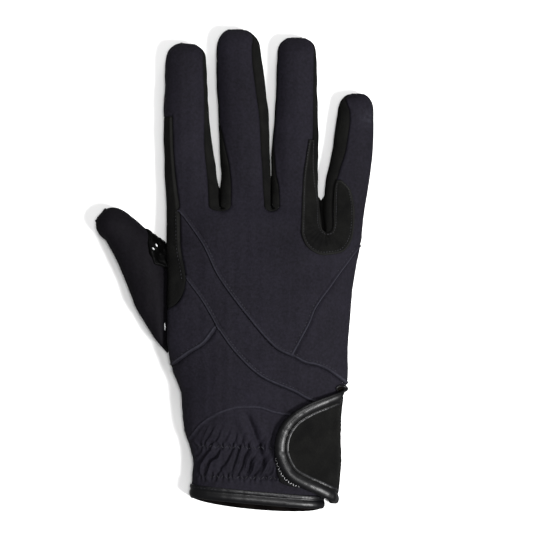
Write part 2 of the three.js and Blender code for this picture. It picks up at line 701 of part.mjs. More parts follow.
// Wrist with its elastic gathers. Folds lean towards the thumb side.
const hemY = (x) => -handLength - hemSlant * clamp((x - mouthInset) / mouthWidth, 0, 1);
const mouth = handSection(-handLength - hemSlant);
const hemLine = (t) => {
  const x = mouth.middle - mouth.half * Math.cos(Math.PI * t);
  return [x, hemY(x)];
};
const gatherTop = -0.845 * handLength;
const gatherRight = 0.57 * knuckleWidth;
function gathers(x, y) {
  const along = ease((gatherTop - y) / gatherPitch) * ease((y + handLength - 0.5 * gatherPitch) / gatherPitch);
  const h = handSection(y);
  const over = ease((x - h.left - 1) / 5) * ease((gatherRight - x) / 6);
  return gatherDepth * along * over * Math.sin((2 * Math.PI * (x - 0.45 * y)) / gatherPitch);
}
const wrist = patch(
  join(thumbLine, lowerEnd, 0.42),
  hemLine,
  edgeLine('left', thumbLine(0)[1], hemLine(0)[1]),
  edgeLine('right', lowerEndY, hemLine(1)[1]),
  { left: 0, right: 0 },
);
add(
  'back_wrist',
  sheet([{ point: withDepth(onBack(wrist, gathers)), columns: 28, rows: 9 }]),
  materials.stretch,
);

// Palm, one panel with the fronts of the four fingers, flat where it lies.
const palmLevels = [
  [-2, 0],
  [0, 0],
  [0, -littleDrop],
  [-littleDrop, -littleDrop - 2],
];
const tail = (a) => palmTail * arch(a, 2);
const palmEnd = (u) => {
  const [x, y] = hemLine(lerp(0, 1 - Math.acos(1 - tabTuck / mouth.half) / Math.PI, u));
  return [x, y - tail((x - mouth.middle) / mouth.half)];
};
add(
  'palm_panel',
  handPanel(-1, palmInset, palmLevels, 4, 9, palmNotch, palmEnd),
  materials.suede,
);

// Fourchettes: the side walls between two fingers, in one strip around the web.
function wallSurface(upperAt, lowerAt) {
  const count = 4;
  const line = (depth) => {
    const points = [];
    for (let k = 0; k <= count; k += 1) points.push(upperAt(Math.sin((k / count) * Math.PI / 2), depth));
    for (let k = count; k >= 0; k -= 1) points.push(lowerAt(Math.sin((k / count) * Math.PI / 2), depth));
    return points.map((p) => new THREE.Vector3(...p));
  };
  const outer = line(0);
  const lengths = outer.slice(1).map((p, i) => p.distanceTo(outer[i]));
  const total = lengths.reduce((sum, l) => sum + l, 0);
  return (w, depth) => {
    let rest = lerp(0.9 * seam, total - 0.9 * seam, w);
    let i = 0;
    while (i < lengths.length - 1 && rest > lengths[i]) {
      rest -= lengths[i];
      i += 1;
    }
    const t = lengths[i] > 0 ? clamp(rest / lengths[i], 0, 1) : 0;
    const points = depth ? line(depth) : outer;
    return points[i].clone().lerp(points[i + 1], t).toArray();
  };
}
// One station: from the back's seam at D over the edge at M to the palm's seam at P;
// inward points from the gap into the finger.
function planWall(D, M, P, inward, f) {
  const along = (surface, from) => (t, depth) => {
    const [x, y] = [lerp(from[0], M[0], t), lerp(from[1], M[1], t)];
    const p = surface(x, y, depth, f, 0);
    const shift = [lerp(p[0] - x, depth * inward[0], t * t), lerp(0, depth * inward[1], t * t)];
    return [x + shift[0], y + shift[1], p[2]];
  };
  return wallSurface(along(backPoint, D), along(palmPoint, P));
}
function wingWall(f, side, v) {
  const level = (side ? f.web.right : f.web.left).y;
  if (v < tipShare - 1e-6) {
    const half = fingerSection(f, capY(f)).half;
    const inset = [backInset(f, side, capY(f)), palmSeamInset].map((d) => 1 - d / half);
    const at = (face, from) => (t, depth) =>
      capPoint(f, v, sign(side) * lerp(from, 1, t), depth, face, 0);
    return wallSurface(at(1, inset[0]), at(-1, inset[1]));
  }
  const y = lerp(capY(f), level, (v - tipShare) / (1 - tipShare));
  const x = fingerEdge(f, side, y);
  const into = -sign(side);
  const D = [x + into * backInset(f, side, y), y];
  return planWall(D, [x, y], [x + into * palmSeamInset, y], [into, 0], f);
}
function fourchette(w) {
  const first = 1 / rowShare; // the strip starts one row below the tip
  const wing = (f, side) => (u, v, depth) => wingWall(f, side, lerp(first, 1, v))(u, depth);
  const turn = (u, v, depth) => {
    const dir = [-Math.cos(Math.PI * v), -Math.sin(Math.PI * v)];
    const M = [w.x + w.radius * dir[0], w.y + w.radius * dir[1]];
    const f = v < 0.5 ? w.left : w.right;
    return planWall(backNotch(w, v, 0), M, palmNotch(w, v, 0), dir, f)(u, depth);
  };
  const rows = rowShare - 1;
  const right = wing(w.right, 0);
  return sheet(
    [
      { point: wing(w.left, 1), columns: 4, rows },
      { point: turn, columns: 4, rows: arcRows },
      { point: (u, v, depth) => right(u, 1 - v, depth), columns: 4, rows },
    ].map((g) => ({ ...g, point: withDepth(g.point) })),
  );
}
add('fourchette_index_middle', fourchette(webs[0]), materials.suede);
add('fourchette_middle_ring', fourchette(webs[1]), materials.suede);
add('fourchette_ring_little', fourchette(webs[2]), materials.suede);

// Suede patch that the rein runs over, round the web between ring and little finger.
// Its two edges are given from the web, as shares of the ring finger's width.
const patchRows = [
  { at: 0, inX: -0.23, inY: 1.955, outX: -0.34, outY: 1.955 },
  { at: 0.12, inX: -0.243, inY: 1.515, outX: -0.4, outY: 1.565 },
  { at: 0.24, inX: -0.22, inY: 1.135, outX: -0.455, outY: 1.115 },
  { at: 0.36, inX: -0.14, inY: 0.615, outX: -0.48, outY: 0.515 },
  { at: 0.47, inX: -0.12, inY: 0.235, outX: -0.5, outY: -0.005 },
  { at: 0.54, inX: -0.06, inY: 0.035, outX: -0.4, outY: -0.305 },
  { at: 0.61, inX: 0.06, inY: -0.025, outX: -0.05, outY: -0.505 },
  { at: 0.68, inX: 0.15, inY: 0.015, outX: 0.34, outY: -0.445 },
  { at: 0.76, inX: 0.2, inY: 0.215, outX: 0.58, outY: -0.085 },
  { at: 0.86, inX: 0.21, inY: 0.565, outX: 0.63, outY: 0.415 },
  { at: 0.94, inX: 0.23, inY: 0.915, outX: 0.56, outY: 0.865 },
  { at: 1, inX: 0.28, inY: 1.095, outX: 0.38, outY: 1.095 },
];
const patchLift = 1.5 * seam;
const patchColumns = ['inX', 'inY', 'outX', 'outY'].map((key) => column(patchRows, 'at', key));
const reinPatch = (u, v, skin) => {
  const [inX, inY, outX, outY] = patchColumns.map((value) => value(v) * ringWidth);
  const x = webs[2].x + lerp(inX, outX, u);
  const f = x < webs[2].x ? ringFinger : littleFinger;
  const depth = skin ? -patchLift : -patchLift - patchWall;
  return backPoint(x, webs[2].y + lerp(inY, outY, u), depth, f);
};
add('rein_patch', sheet([{ point: reinPatch, columns: 4, rows: 22 }]), materials.suede);

// Thumb. A row runs from its outer edge to its inner one. out is how far outside the
// hand's edge as a share of the reach, down how far below the hole's top as a share of
// the hole's length. From the fifth row on the inner edge is the hand's hole.
const thumbRows = [
  { at: 0, outerOut: 0.862, outerDown: -0.02, innerOut: 0.575, innerDown: -0.255, height: 1 },
  { at: 0.13, outerOut: 0.785, outerDown: 0.062, innerOut: 0.447, innerDown: -0.2, height: 1 },
  { at: 0.26, outerOut: 0.71, outerDown: 0.148, innerOut: 0.305, innerDown: -0.124, height: 1 },
  { at: 0.38, outerOut: 0.642, outerDown: 0.24, innerOut: 0.145, innerDown: -0.05, height: 1 },
  { at: 0.5, outerOut: 0.56, outerDown: 0.36, innerOut: 0, innerDown: 0.03, height: 1 },
  { at: 0.63, outerOut: 0.45, outerDown: 0.525, innerOut: 0, innerDown: 0.24, height: 0.95 },
  { at: 0.76, outerOut: 0.295, outerDown: 0.693, innerOut: 0, innerDown: 0.5, height: 0.8 },
  { at: 0.89, outerOut: 0.11, outerDown: 0.854, innerOut: 0, innerDown: 0.75, height: 0.5 },
  { at: 1, outerOut: -0.03, outerDown: 0.95, innerOut: 0, innerDown: 0.93, height: 0.1 },
];
const thumbKeys = ['outerOut', 'outerDown', 'innerOut', 'innerDown', 'height'];
const thumbColumns = thumbKeys.map((key) => column(thumbRows, 'at', key));
const thumbMid = 0.45 * thumbThickness;
const thumbRise = thumbThickness - thumbMid;
const thumbFlat = 0.5; // half width of its tip's straight end, as a share
const thumbCapRows = 3;
const thumbBodyRows = 10;
const thumbCapShare = thumbCapRows / (thumbCapRows + thumbBodyRows);
const rootedFrom = 0.5; // the share of the rows from which the inner edge is the hand's

function thumbPoint(face) {
  return (u, v, depth) => {
    const a = -Math.cos(Math.PI * u);
    const capped = v < thumbCapShare - 1e-6;
    const turn = capped ? (Math.PI / 2) * (1 - v / thumbCapShare) : 0;
    const t = clamp((v - thumbCapShare) / (1 - thumbCapShare), 0, 1);
    const [outerOut, outerDown, innerOut, innerDown, height] = thumbColumns.map((c) => c(t));
    const outer = [-outerOut * thumbReach, thumbTopY - outerDown * thumbRootLength];
    const inner = [-innerOut * thumbReach, thumbTopY - innerDown * thumbRootLength];
    const rooted = ease((t - rootedFrom + 0.06) / 0.08);
    const hole = arch(holeShare(inner[1]), 2);
    const held = face > 0 ? thumbTuck * hole - seam * 2 * (1 - hole) : -seam;
    inner[0] = lerp(inner[0], handSection(inner[1]).left + held, rooted);
    const across = [inner[0] - outer[0], inner[1] - outer[1]];
    const length = Math.hypot(...across);
    const e = [across[0] / length, across[1] / length];
    const half = length / 2;
    const lift = seam / 2;
    const high = Math.cos(turn);
    const narrow = Math.max(thumbFlat, (1 - Math.sin(turn) ** tipPower) ** (1 / tipPower));
    const open = a > 0 ? rooted : 0;
    const flat = flatArch(a);
    let z;
    let inward;
    if (face > 0) {
      const rise = thumbRise * height;
      const closed = thumbMid + lift + (rise - lift - depth) * high * arch(a, fingerPower);
      const rootZ = handSection(inner[1]).leftSide - 3 * seam;
      z = lerp(closed, lerp(thumbMid + rise, rootZ, ease(a)) - depth, open);
      inward = a * (1 - open);
    } else {
      const closed = thumbMid - lift - (thumbMid - lift - depth) * high * flat;
      z = lerp(closed, depth, open);
      inward = a * (1 - flat) * (1 - open);
    }
    const s = half * (1 + a * narrow) - depth * inward * (capped ? narrow : 1);
    const forward = (thumbTip - depth) * Math.sin(turn);
    return [outer[0] + e[0] * s - e[1] * forward, outer[1] + e[1] * s + e[0] * forward, z];
  };
}
const thumbGrid = (face) => [
  { point: withDepth(thumbPoint(face)), columns: 7, rows: thumbCapRows + thumbBodyRows },
];
add('thumb_back', sheet(thumbGrid(1)), materials.stretch);
add('thumb_palm', sheet(thumbGrid(-1)), materials.suede);

// Leather binding round the cuff's opening, just beyond the end of the cloth.
const hemLoop = [];
const hemRows = 36;
for (let i = 0; i < hemRows * 4; i += 1) {
  const turn = (2 * Math.PI * i) / (hemRows * 4);
  const a = Math.cos(turn);
  const x = mouth.middle + mouth.half * a;
  const top = Math.sin(turn) > 0;
  const y = hemY(x) - (top ? 0 : tail(a));
  const z = (top ? backPoint : palmPoint)(x, y, wall / 2, littleFinger, 0)[2];
  const drawn = (top ? 0 : Math.abs(a) ** 8) + Math.abs(a) ** 12;
  hemLoop.push(new THREE.Vector3(x - Math.sign(a) * (wall / 2) * Math.min(1, drawn), y, z));
}
const hemCurve = new THREE.CatmullRomCurve3(hemLoop, true, 'centripetal');
hemCurve.arcLengthDivisions = 400;
const hemSides = 8;
const hemRing = (t) => {
  const centre = hemCurve.getPointAt(t);
  const ahead = hemCurve.getPointAt((t + 0.004) % 1);
  const along = new THREE.Vector3().subVectors(ahead, centre).setY(0).normalize();
  return Array.from({ length: hemSides }, (_, j) => {
    const turn = (2 * Math.PI * (j + 0.5)) / hemSides;
    const out = (bindingThickness / 2) * (Math.sin(turn) / Math.sin((3 * Math.PI) / hemSides));
    const wide = (bindingWidth / 2) * (Math.cos(turn) / Math.cos(Math.PI / hemSides));
    const y = centre.y - seam - bindingWidth / 2 + wide;
    return [centre.x + along.z * out, y, Math.max(0, centre.z - along.x * out)];
  });
};
add('hem_binding', tube(hemRing, hemRows, true), materials.binding);

// Closure tab. It is laid out on the cuff unrolled from the little-finger outline: s is the
// distance over the back from that outline, negative where it wraps down the side.
const tabLift = 2; // clear of the cuff and the loop patch
const tabMid = tabLift + tabWall / 2;
const tabFlareAt = (y) => tabFlare * ease((tabTop - tabStraight - y) / (tabLength - tabStraight));
function tabTurned(turn, y, off) {
  const h = handSection(y);
  const a = Math.cos(turn);
  const x = h.middle + h.half * a;
  const round = arch(a, flatPower);
  const under = [x + off * a, y, sideHeight * (1 - round) + (tabLift + tabWall - off) * round];
  const p = turn < 0 ? under : backPoint(x, y, -off, littleFinger, 0);
  p[0] += tabFlareAt(y) * (0.5 + 0.5 * a);
  return p;
}
const turnRows = 80;
const tabTurns = Array.from({ length: turnRows + 1 }, (_, i) => lerp(-0.8, 2, i / turnRows));
function tabPoint(s, y, off) {
  const line = tabTurns.map((turn) => new THREE.Vector3(...tabTurned(turn, y, tabMid)));
  const lengths = line.slice(1).map((p, i) => p.distanceTo(line[i]));
  const start = lengths.slice(0, tabTurns.filter((turn) => turn < 0).length);
  let rest = s + start.reduce((sum, l) => sum + l, 0);
  let i = 0;
  while (i < lengths.length - 1 && rest > lengths[i]) {
    rest -= lengths[i];
    i += 1;
  }
  return tabTurned(lerp(tabTurns[i], tabTurns[i + 1], rest / lengths[i]), y, off);
}
// Middle line of the tab's binding: reach is a share of the tab's reach over the back,
// along a share of its length from the upper corner.
const tabRows = [
  { reach: -0.18, along: 0.06 },
  { reach: 0.06, along: 0.08 },
  { reach: 0.355, along: 0.135 },
  { reach: 0.667, along: 0.211 },
  { reach: 0.885, along: 0.302 },
  { reach: 1.02, along: 0.423 },
  { reach: 1.07, along: 0.574 },
  { reach: 1.03, along: 0.694 },
  { reach: 0.91, along: 0.815 },
  { reach: 0.71, along: 0.89 },
  { reach: 0.485, along: 0.951 },
  { reach: 0.27, along: 1.01 },
  { reach: 0.03, along: 1.05 },
  { reach: -0.18, along: 1.06 },
];
const tabCurve = new THREE.SplineCurve(
  tabRows.map((r) => new THREE.Vector2(r.reach * tabReach, tabTop - r.along * tabLength)),
);
// A point beside that line, and its inward side.
function tabBeside(t, inward) {
  const p = tabCurve.getPointAt(t);
  const d = tabCurve.getTangentAt(t);
  return [p.x + d.y * inward, p.y - d.x * inward];
}
const tabSides = 8;
const tabRing = (t) =>
  Array.from({ length: tabSides }, (_, j) => {
    const turn = (2 * Math.PI * (j + 0.5)) / tabSides;
    const [s, y] = tabBeside(t, (tabBindingWidth / 2) * Math.cos(turn));
    return tabPoint(s, y, tabMid + (tabBindingThickness / 2) * Math.sin(turn));
  });
add('tab_binding', tube(tabRing, 28, false), materials.binding);

const tabFoot = -7.5; // where the tab meets the palm's edge under the side
const tabEdge = (v) => tabBeside(lerp(0.03, 0.97, v), tabBindingWidth / 2 + seam);
const tabSheet = (u, v, skin) => {
  const [s, y] = tabEdge(v);
  const foot = lerp(tabEdge(0)[1], tabEdge(1)[1], v);
  return tabPoint(lerp(tabFoot, s, u), lerp(foot, y, ease(u)), tabLift + (skin ? 0 : tabWall));
};
add('closure_tab', sheet([{ point: tabSheet, columns: 7, rows: 16 }]), materials.suede);

// Loop patch under the tab, showing a little past its nose.
const loopHalf = [loopWidth / 2, loopLength / 2];
const loopCentre = [mouthRight - loopSide + loopHalf[0], tabTop - loopRise * tabLength];
const loopPatch = (u, v, skin) => {
  const [a, b] = [2 * u - 1, 2 * v - 1];
  const x = loopCentre[0] + loopHalf[0] * a * lerp(1, Math.sqrt(1 - (b * b) / 2), 0.6);
  const y = loopCentre[1] + loopHalf[1] * b * lerp(1, Math.sqrt(1 - (a * a) / 2), 0.6);
  return backPoint(x, y, skin ? -seam : -seam - patchWall, littleFinger);
};
add('loop_patch', sheet([{ point: loopPatch, columns: 8, rows: 8 }]), materials.loop);

// Stand the glove on its palm with the middle of its outline above the origin.
const box = new THREE.Box3().setFromObject(glove);
const middle = box.getCenter(new THREE.Vector3());
for (const mesh of glove.children) mesh.geometry.translate(-middle.x, -middle.y, -box.min.z);

export default glove;
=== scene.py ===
# A right-hand riding glove, lying on its palm with the back of the hand up.
# Shapes are worked out in millimetres from the index finger's root edge: x towards the
# little finger, y up the fingers, z up from the table. placed() turns them into metres
# of the frame. Every cloth piece is a thin shell of one panel, sewn to its neighbours.
import math
import bpy
import bmesh
import numpy as np
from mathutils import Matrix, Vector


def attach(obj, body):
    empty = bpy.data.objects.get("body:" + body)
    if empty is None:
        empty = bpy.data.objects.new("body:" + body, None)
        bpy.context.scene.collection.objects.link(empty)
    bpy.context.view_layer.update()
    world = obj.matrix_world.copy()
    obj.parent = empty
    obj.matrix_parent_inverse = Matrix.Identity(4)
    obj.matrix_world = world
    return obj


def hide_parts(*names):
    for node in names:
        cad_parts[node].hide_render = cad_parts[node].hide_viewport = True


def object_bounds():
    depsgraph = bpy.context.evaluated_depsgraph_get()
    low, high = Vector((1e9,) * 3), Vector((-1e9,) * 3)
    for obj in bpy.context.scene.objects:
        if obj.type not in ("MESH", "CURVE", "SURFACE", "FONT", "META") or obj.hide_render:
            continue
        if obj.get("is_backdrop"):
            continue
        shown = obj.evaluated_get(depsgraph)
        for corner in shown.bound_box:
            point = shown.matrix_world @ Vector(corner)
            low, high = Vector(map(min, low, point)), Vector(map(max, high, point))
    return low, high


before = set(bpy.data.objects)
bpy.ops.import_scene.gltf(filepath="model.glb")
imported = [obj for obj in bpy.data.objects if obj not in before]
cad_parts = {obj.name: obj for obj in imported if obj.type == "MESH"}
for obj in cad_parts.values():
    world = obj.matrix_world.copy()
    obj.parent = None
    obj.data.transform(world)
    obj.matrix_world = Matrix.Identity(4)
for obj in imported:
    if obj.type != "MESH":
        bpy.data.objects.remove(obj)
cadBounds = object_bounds()

glove = {
    "shift": (-32.534, 31.197, 0.0),  # from the index finger's root edge to the frame's origin
    "cloth": 1.1,  # thickness of stretch cloth and suede
    "fingerThickness": 13.0,
    "handLength": 135.0,
    "handThickness": 21.0,
    "sideHeight": 7.0,
    "mouthWidth": 64.0,
    "mouthInset": 11.5,
    "hemSlant": 5.5,
    "palmTail": 4.0,
    "tipRound": 8.5,
    "webDip": 2.4,
    "palmSeam": 2.2,
}
fingerMid = 0.45 * glove["fingerThickness"]
handLength = glove["handLength"]


# Millimetres of the glove to metres of the frame
def placed(points):
    return (np.asarray(points, float) + glove["shift"]) / 1000


def mix(a, b, t):
    return a + (b - a) * t


# 0 to 1 on a curve that is flat at both ends: 3 t squared less 2 t cubed
def ease(t):
    c = np.clip(t, 0, 1)
    return c * c * (3 - 2 * c)


# Rounded section: the power-th root of 1 less |a| to that power
def arch(a, power):
    return (1 - np.minimum(1, np.abs(a)) ** power) ** (1 / power)


# 1 at d = 0, falling off as e to the minus d over width squared
def bell(d, width):
    return np.exp(-((d / width) ** 2))


# Cubic curve through one column of a table, with slopes that never overshoot
def smoothColumn(rows, k):
    table = np.array([(row[0], row[k]) for row in rows], float)
    t, v = table.T
    slope = np.diff(v) / np.diff(t)
    both, total = slope[:-1] * slope[1:], slope[:-1] + slope[1:]
    inner = np.where(both > 0, 2 * both / np.where(total == 0, 1, total), 0)
    tangent = np.concatenate([slope[:1], inner, slope[-1:]])

    def value(at):
        x = np.clip(at, t[0], t[-1])
        i = np.clip(np.searchsorted(t, x) - 1, 0, len(t) - 2)
        h = t[i + 1] - t[i]
        s = (x - t[i]) / h
        ends = v[i] * (1 + 2 * s) * (1 - s) ** 2 + v[i + 1] * s * s * (3 - 2 * s)
        return ends + h * s * (1 - s) * (tangent[i] * (1 - s) - tangent[i + 1] * s)

    return value


# Catmull-Rom curve through points, with t from 0 to 1 over all its spans
def splineThrough(points):
    p = np.array(points, float)
    last = len(p) - 1

    def at(t):
        s = np.clip(np.asarray(t, float), 0, 1) * last
        i = np.minimum(s.astype(int), last - 1)
        w = (s - i)[..., None]
        a, b, c, d = (p[np.clip(i + k, 0, last)] for k in (-1, 0, 1, 2))
        m, n = (c - a) / 2, (d - b) / 2
        return (2 * b - 2 * c + m + n) * w**3 + (3 * c - 3 * b - 2 * m - n) * w**2 + m * w + b

    return at


# Fingers. A row: share of the length from the root, left and right edge from the root's
# middle, and how far the back's seams lie inside them, as shares of the finger's width.
indexRows = [
    (0, -0.5, 0.5, 0.24, 0.2), (0.14, -0.528, 0.472, 0.208, 0.18),
    (0.33, -0.551, 0.387, 0.179, 0.15), (0.53, -0.557, 0.31, 0.165, 0.075),
    (0.6, -0.554, 0.296, 0.16, 0.06), (0.74, -0.538, 0.272, 0.16, 0.05),
    (0.9, -0.519, 0.25, 0.16, 0.045), (1, -0.49, 0.217, 0.16, 0),
]
middleRows = [
    (0, -0.5, 0.5, 0.2, 0.12), (0.1, -0.5, 0.5, 0.2, 0.14), (0.2, -0.5, 0.498, 0.17, 0.15),
    (0.3, -0.52, 0.482, 0.12, 0.16), (0.4, -0.536, 0.475, 0.06, 0.17),
    (0.5, -0.545, 0.465, 0, 0.18), (0.6, -0.565, 0.425, 0, 0.19),
    (0.77, -0.59, 0.355, 0, 0.2), (0.9, -0.58, 0.285, 0, 0.15), (1, -0.54, 0.2, 0, 0),
]
ringRows = [
    (-0.153, -0.5, 0.58, 0.15, 0.12), (-0.05, -0.5, 0.53, 0.15, 0.1), (0, -0.5, 0.5, 0.15, 0.07),
    (0.1, -0.505, 0.485, 0.14, 0.08), (0.2, -0.515, 0.48, 0.08, 0.12),
    (0.3, -0.515, 0.49, 0.05, 0.14), (0.41, -0.48, 0.495, 0, 0.115),
    (0.55, -0.44, 0.48, 0, 0.09), (0.75, -0.405, 0.462, 0, 0.065),
    (0.9, -0.39, 0.45, 0, 0.045), (1, -0.37, 0.415, 0, 0),
]
littleRows = [
    (0, -0.45, 0.46, 0.2, 0), (0.17, -0.49, 0.54, 0.21, 0), (0.3, -0.47, 0.615, 0.23, 0),
    (0.46, -0.375, 0.69, 0.28, 0), (0.57, -0.285, 0.735, 0.31, 0),
    (0.75, -0.2, 0.755, 0.33, 0), (0.88, -0.13, 0.75, 0.26, 0), (1, -0.07, 0.72, 0, 0),
]
fingerSizes = {  # width, length, gap before it, how much lower it starts
    "index": (indexRows, 25.4, 78.5, 0.0, 0.0),
    "middle": (middleRows, 24.0, 85.5, 0.7, 0.0),
    "ring": (ringRows, 22.6, 81.5, 0.7, 0.0),
    "little": (littleRows, 19.2, 67.0, 2.2, 12.5),
}
fingers = []
for name, (rows, width, length, gap, drop) in fingerSizes.items():
    start = fingers[-1]["rootX"] + fingers[-1]["width"] / 2 if fingers else 0
    fingers.append({
        "name": name, "width": width, "length": length, "rootX": start + gap + width / 2,
        "rootY": -drop, "edge": [smoothColumn(rows, 1), smoothColumn(rows, 2)],
        "inset": [smoothColumn(rows, 3), smoothColumn(rows, 4)], "webs": [None, None],
    })
indexFinger, middleFinger, ringFinger, littleFinger = fingers
knuckleWidth = littleFinger["rootX"] + littleFinger["width"] / 2


def fingerEdge(f, side, y):
    return f["rootX"] + f["width"] * f["edge"][side]((y - f["rootY"]) / f["length"])


# Middle, half width and rise above the seam's height of a finger at y
def fingerSection(f, y):
    left, right = fingerEdge(f, 0, y), fingerEdge(f, 1, y)
    thick = glove["fingerThickness"] * np.clip(f["width"] / middleFinger["width"], 0.88, 1.05)
    return (left + right) / 2, (right - left) / 2, thick - fingerMid


# Between two fingers the back always ends a little inside the edge
def backInset(f, side, y):
    least = 0.3 if f["webs"][side] else 0
    return np.maximum(least, f["width"] * f["inset"][side]((y - f["rootY"]) / f["length"]))


webs = []
for left, right in zip(fingers, fingers[1:]):
    level = right["rootY"]
    ends = fingerEdge(left, 1, level), fingerEdge(right, 0, level)
    web = {"left": left, "right": right, "y": level, "x": sum(ends) / 2, "radius": (ends[1] - ends[0]) / 2}
    left["webs"][1] = right["webs"][0] = web
    webs.append(web)

# Hand. A row: share of the hand's length down from the knuckles, left edge as a share of
# the mouth's inset, right edge as a share of the narrowing, crown as one of the thickness.
handRows = [
    (0, 0, 0, 0.82), (0.092, 0, 0, 0.87), (0.157, 0, 0.05, 0.91), (0.228, 0.05, 0.155, 0.95),
    (0.334, 0.03, 0.263, 0.99), (0.477, 0.04, 0.343, 1), (0.537, 0.1, 0.365, 0.99),
    (0.584, 0.25, 0.36, 0.97), (0.637, 0.48, 0.37, 0.95), (0.669, 0.61, 0.485, 0.93),
    (0.726, 0.667, 0.61, 0.9), (0.797, 0.75, 0.7, 0.86), (0.868, 1, 0.78, 0.83),
    (0.922, 1.13, 0.85, 0.83), (0.975, 1.07, 0.93, 0.85), (1.03, 1, 1, 0.87),
]
handLeft, handRight, handCrown = (smoothColumn(handRows, k) for k in (1, 2, 3))
thumb = {
    "reach": 34.0, "tip": 9.6, "flat": 0.5, "tuck": 2.0, "rootLength": 57.0, "rootTop": -17.9,
    "thickness": 15.0, "archHeight": 12.5,
}
mouthRight = glove["mouthInset"] + glove["mouthWidth"]


# Where y lies in the thumb's hole: -1 at its lower end, 1 at its top
def holeShare(y):
    low = thumb["rootTop"] - thumb["rootLength"]
    return np.clip(2 * (y - low) / thumb["rootLength"] - 1, -1, 1)


# Edges and crown of the hand at y, and how high its thumb side stands
def handSection(y):
    y = np.asarray(y, float)
    down = -y / handLength
    inHand = glove["mouthInset"] * handLeft(down)
    left = np.where(y > 0, fingerEdge(indexFinger, 0, y), inHand)
    root = fingerEdge(littleFinger, 1, littleFinger["rootY"])
    narrowing = mix(root, mouthRight, handRight(down))
    right = np.where(y > littleFinger["rootY"], fingerEdge(littleFinger, 1, y), narrowing)
    hole = arch(holeShare(y), 2)
    return {
        "left": left, "right": right, "middle": (left + right) / 2, "half": (right - left) / 2,
        "crown": glove["handThickness"] * handCrown(down),
        "leftSide": mix(glove["sideHeight"], thumb["archHeight"], hole),
        "palmLeft": mix(glove["sideHeight"], 0, hole),
    }


# How far a finger has taken on the hand's form, eased from 14 mm above the web
def shareOfHand(f, y, across):
    levels = [w["y"] if w else f["rootY"] for w in f["webs"]]
    return ease((14 - (y - mix(levels[0], levels[1], (across + 1) / 2))) / 23)


# The surface of the finger, or of the part of the hand below it, that x lies in
def byOwner(surface, x, y, depth):
    owner = sum((x >= w["x"]).astype(int) for w in webs)
    each = [surface(x, y, depth, f) for f in fingers]
    return np.choose(owner[..., None], each)


# Back of the glove over a plan point, sunk by depth along its rounded section
def backPoint(x, y, depth=0.0, f=None):
    x, y = np.broadcast_arrays(np.asarray(x, float), np.asarray(y, float))
    if f is None:
        return byOwner(backPoint, x, y, depth)
    middle, half, rise = fingerSection(f, y)
    a = np.clip((x - middle) / half, -1, 1)
    h = handSection(y)
    ah = np.clip((x - h["middle"]) / h["half"], -1, 1)
    side = mix(h["leftSide"], glove["sideHeight"], (ah + 1) / 2)
    share = shareOfHand(f, y, a)
    zFinger = fingerMid + (rise - depth) * arch(a, 2.1)
    zHand = side + (h["crown"] - side - depth) * arch(ah, 2.5)
    return np.stack([x - depth * mix(a, ah, share), y, mix(zFinger, zHand, share)], -1)


tab = {
    "rise": 49.6, "length": 53.0, "reach": 33.0, "flare": 5.2, "lift": 2.0, "wall": 1.8,
    "edgeWidth": 4.8, "edgeThickness": 3.0, "flange": 1.9, "flangeThickness": 2.1, "groove": 2.5,
    "foot": -7.5, "pressed": 2.0, "curl": 1.75, "curlTube": 0.95,
}
tabTop = tab["rise"] - handLength
flatPower = 4.5


# Underside flattened by what it lies on: flat over the middle 62 %
def flatArch(a):
    return np.minimum(1, arch(a, flatPower) / arch(0.62, flatPower))


# Palm side over a plan point, raised by depth into the glove
def palmPoint(x, y, depth=0.0, f=None):
    x, y = np.broadcast_arrays(np.asarray(x, float), np.asarray(y, float))
    if f is None:
        return byOwner(palmPoint, x, y, depth)
    middle, half, _ = fingerSection(f, y)
    a = np.clip((x - middle) / half, -1, 1)
    h = handSection(y)
    ah = np.clip((x - h["middle"]) / h["half"], -1, 1)
    share = shareOfHand(f, y, a)
    flat, flatHand = flatArch(a), flatArch(ah)
    wrapped = ease((tabTop + 1 - y) / 5)
    side = np.where(ah < 0, h["palmLeft"], glove["sideHeight"] * (1 - wrapped))
    lying = np.maximum(flatHand, 1 - side / glove["sideHeight"])
    zFinger = fingerMid * (1 - flat) + depth * flat
    raised = 0.8 * ease((14 - y - handLength) / 12) * lying
    zHand = side * (1 - flatHand) + depth * lying + raised
    inward = mix(a * (1 - flat), ah * (1 - lying), share)
    return np.stack([x - depth * inward, y, mix(zFinger, zHand, share)], -1)


# Fingers run from the tip (v = 0) to the root (v = 1). The first third rounds the tip.
tipShare = 1 / 3
tipFlat = 0.3


def capY(f):
    return f["rootY"] + f["length"] - glove["tipRound"]


# Fingertip: the section shrinks as it turns a quarter circle from body to tip
def capPoint(f, v, a, depth, face):
    turn = np.pi / 2 * (1 - np.clip(v / tipShare, 0, 1))
    sine, high = np.sin(turn), np.cos(turn)
    middle, half, rise = fingerSection(f, capY(f) + glove["tipRound"] * sine)
    faded = np.sign(a) * (1 - (1 - np.abs(a)) * (1 - sine))
    narrow = np.maximum(tipFlat, (1 - sine**2.4) ** (1 / 2.4))
    x = middle + (half - depth) * narrow * faded
    y = capY(f) + (glove["tipRound"] - depth) * sine
    up = fingerMid + (rise - depth) * high * arch(faded, 2.1)
    down = fingerMid - (fingerMid - depth) * high * flatArch(faded)
    return np.stack([x, y, up if face > 0 else down], -1)


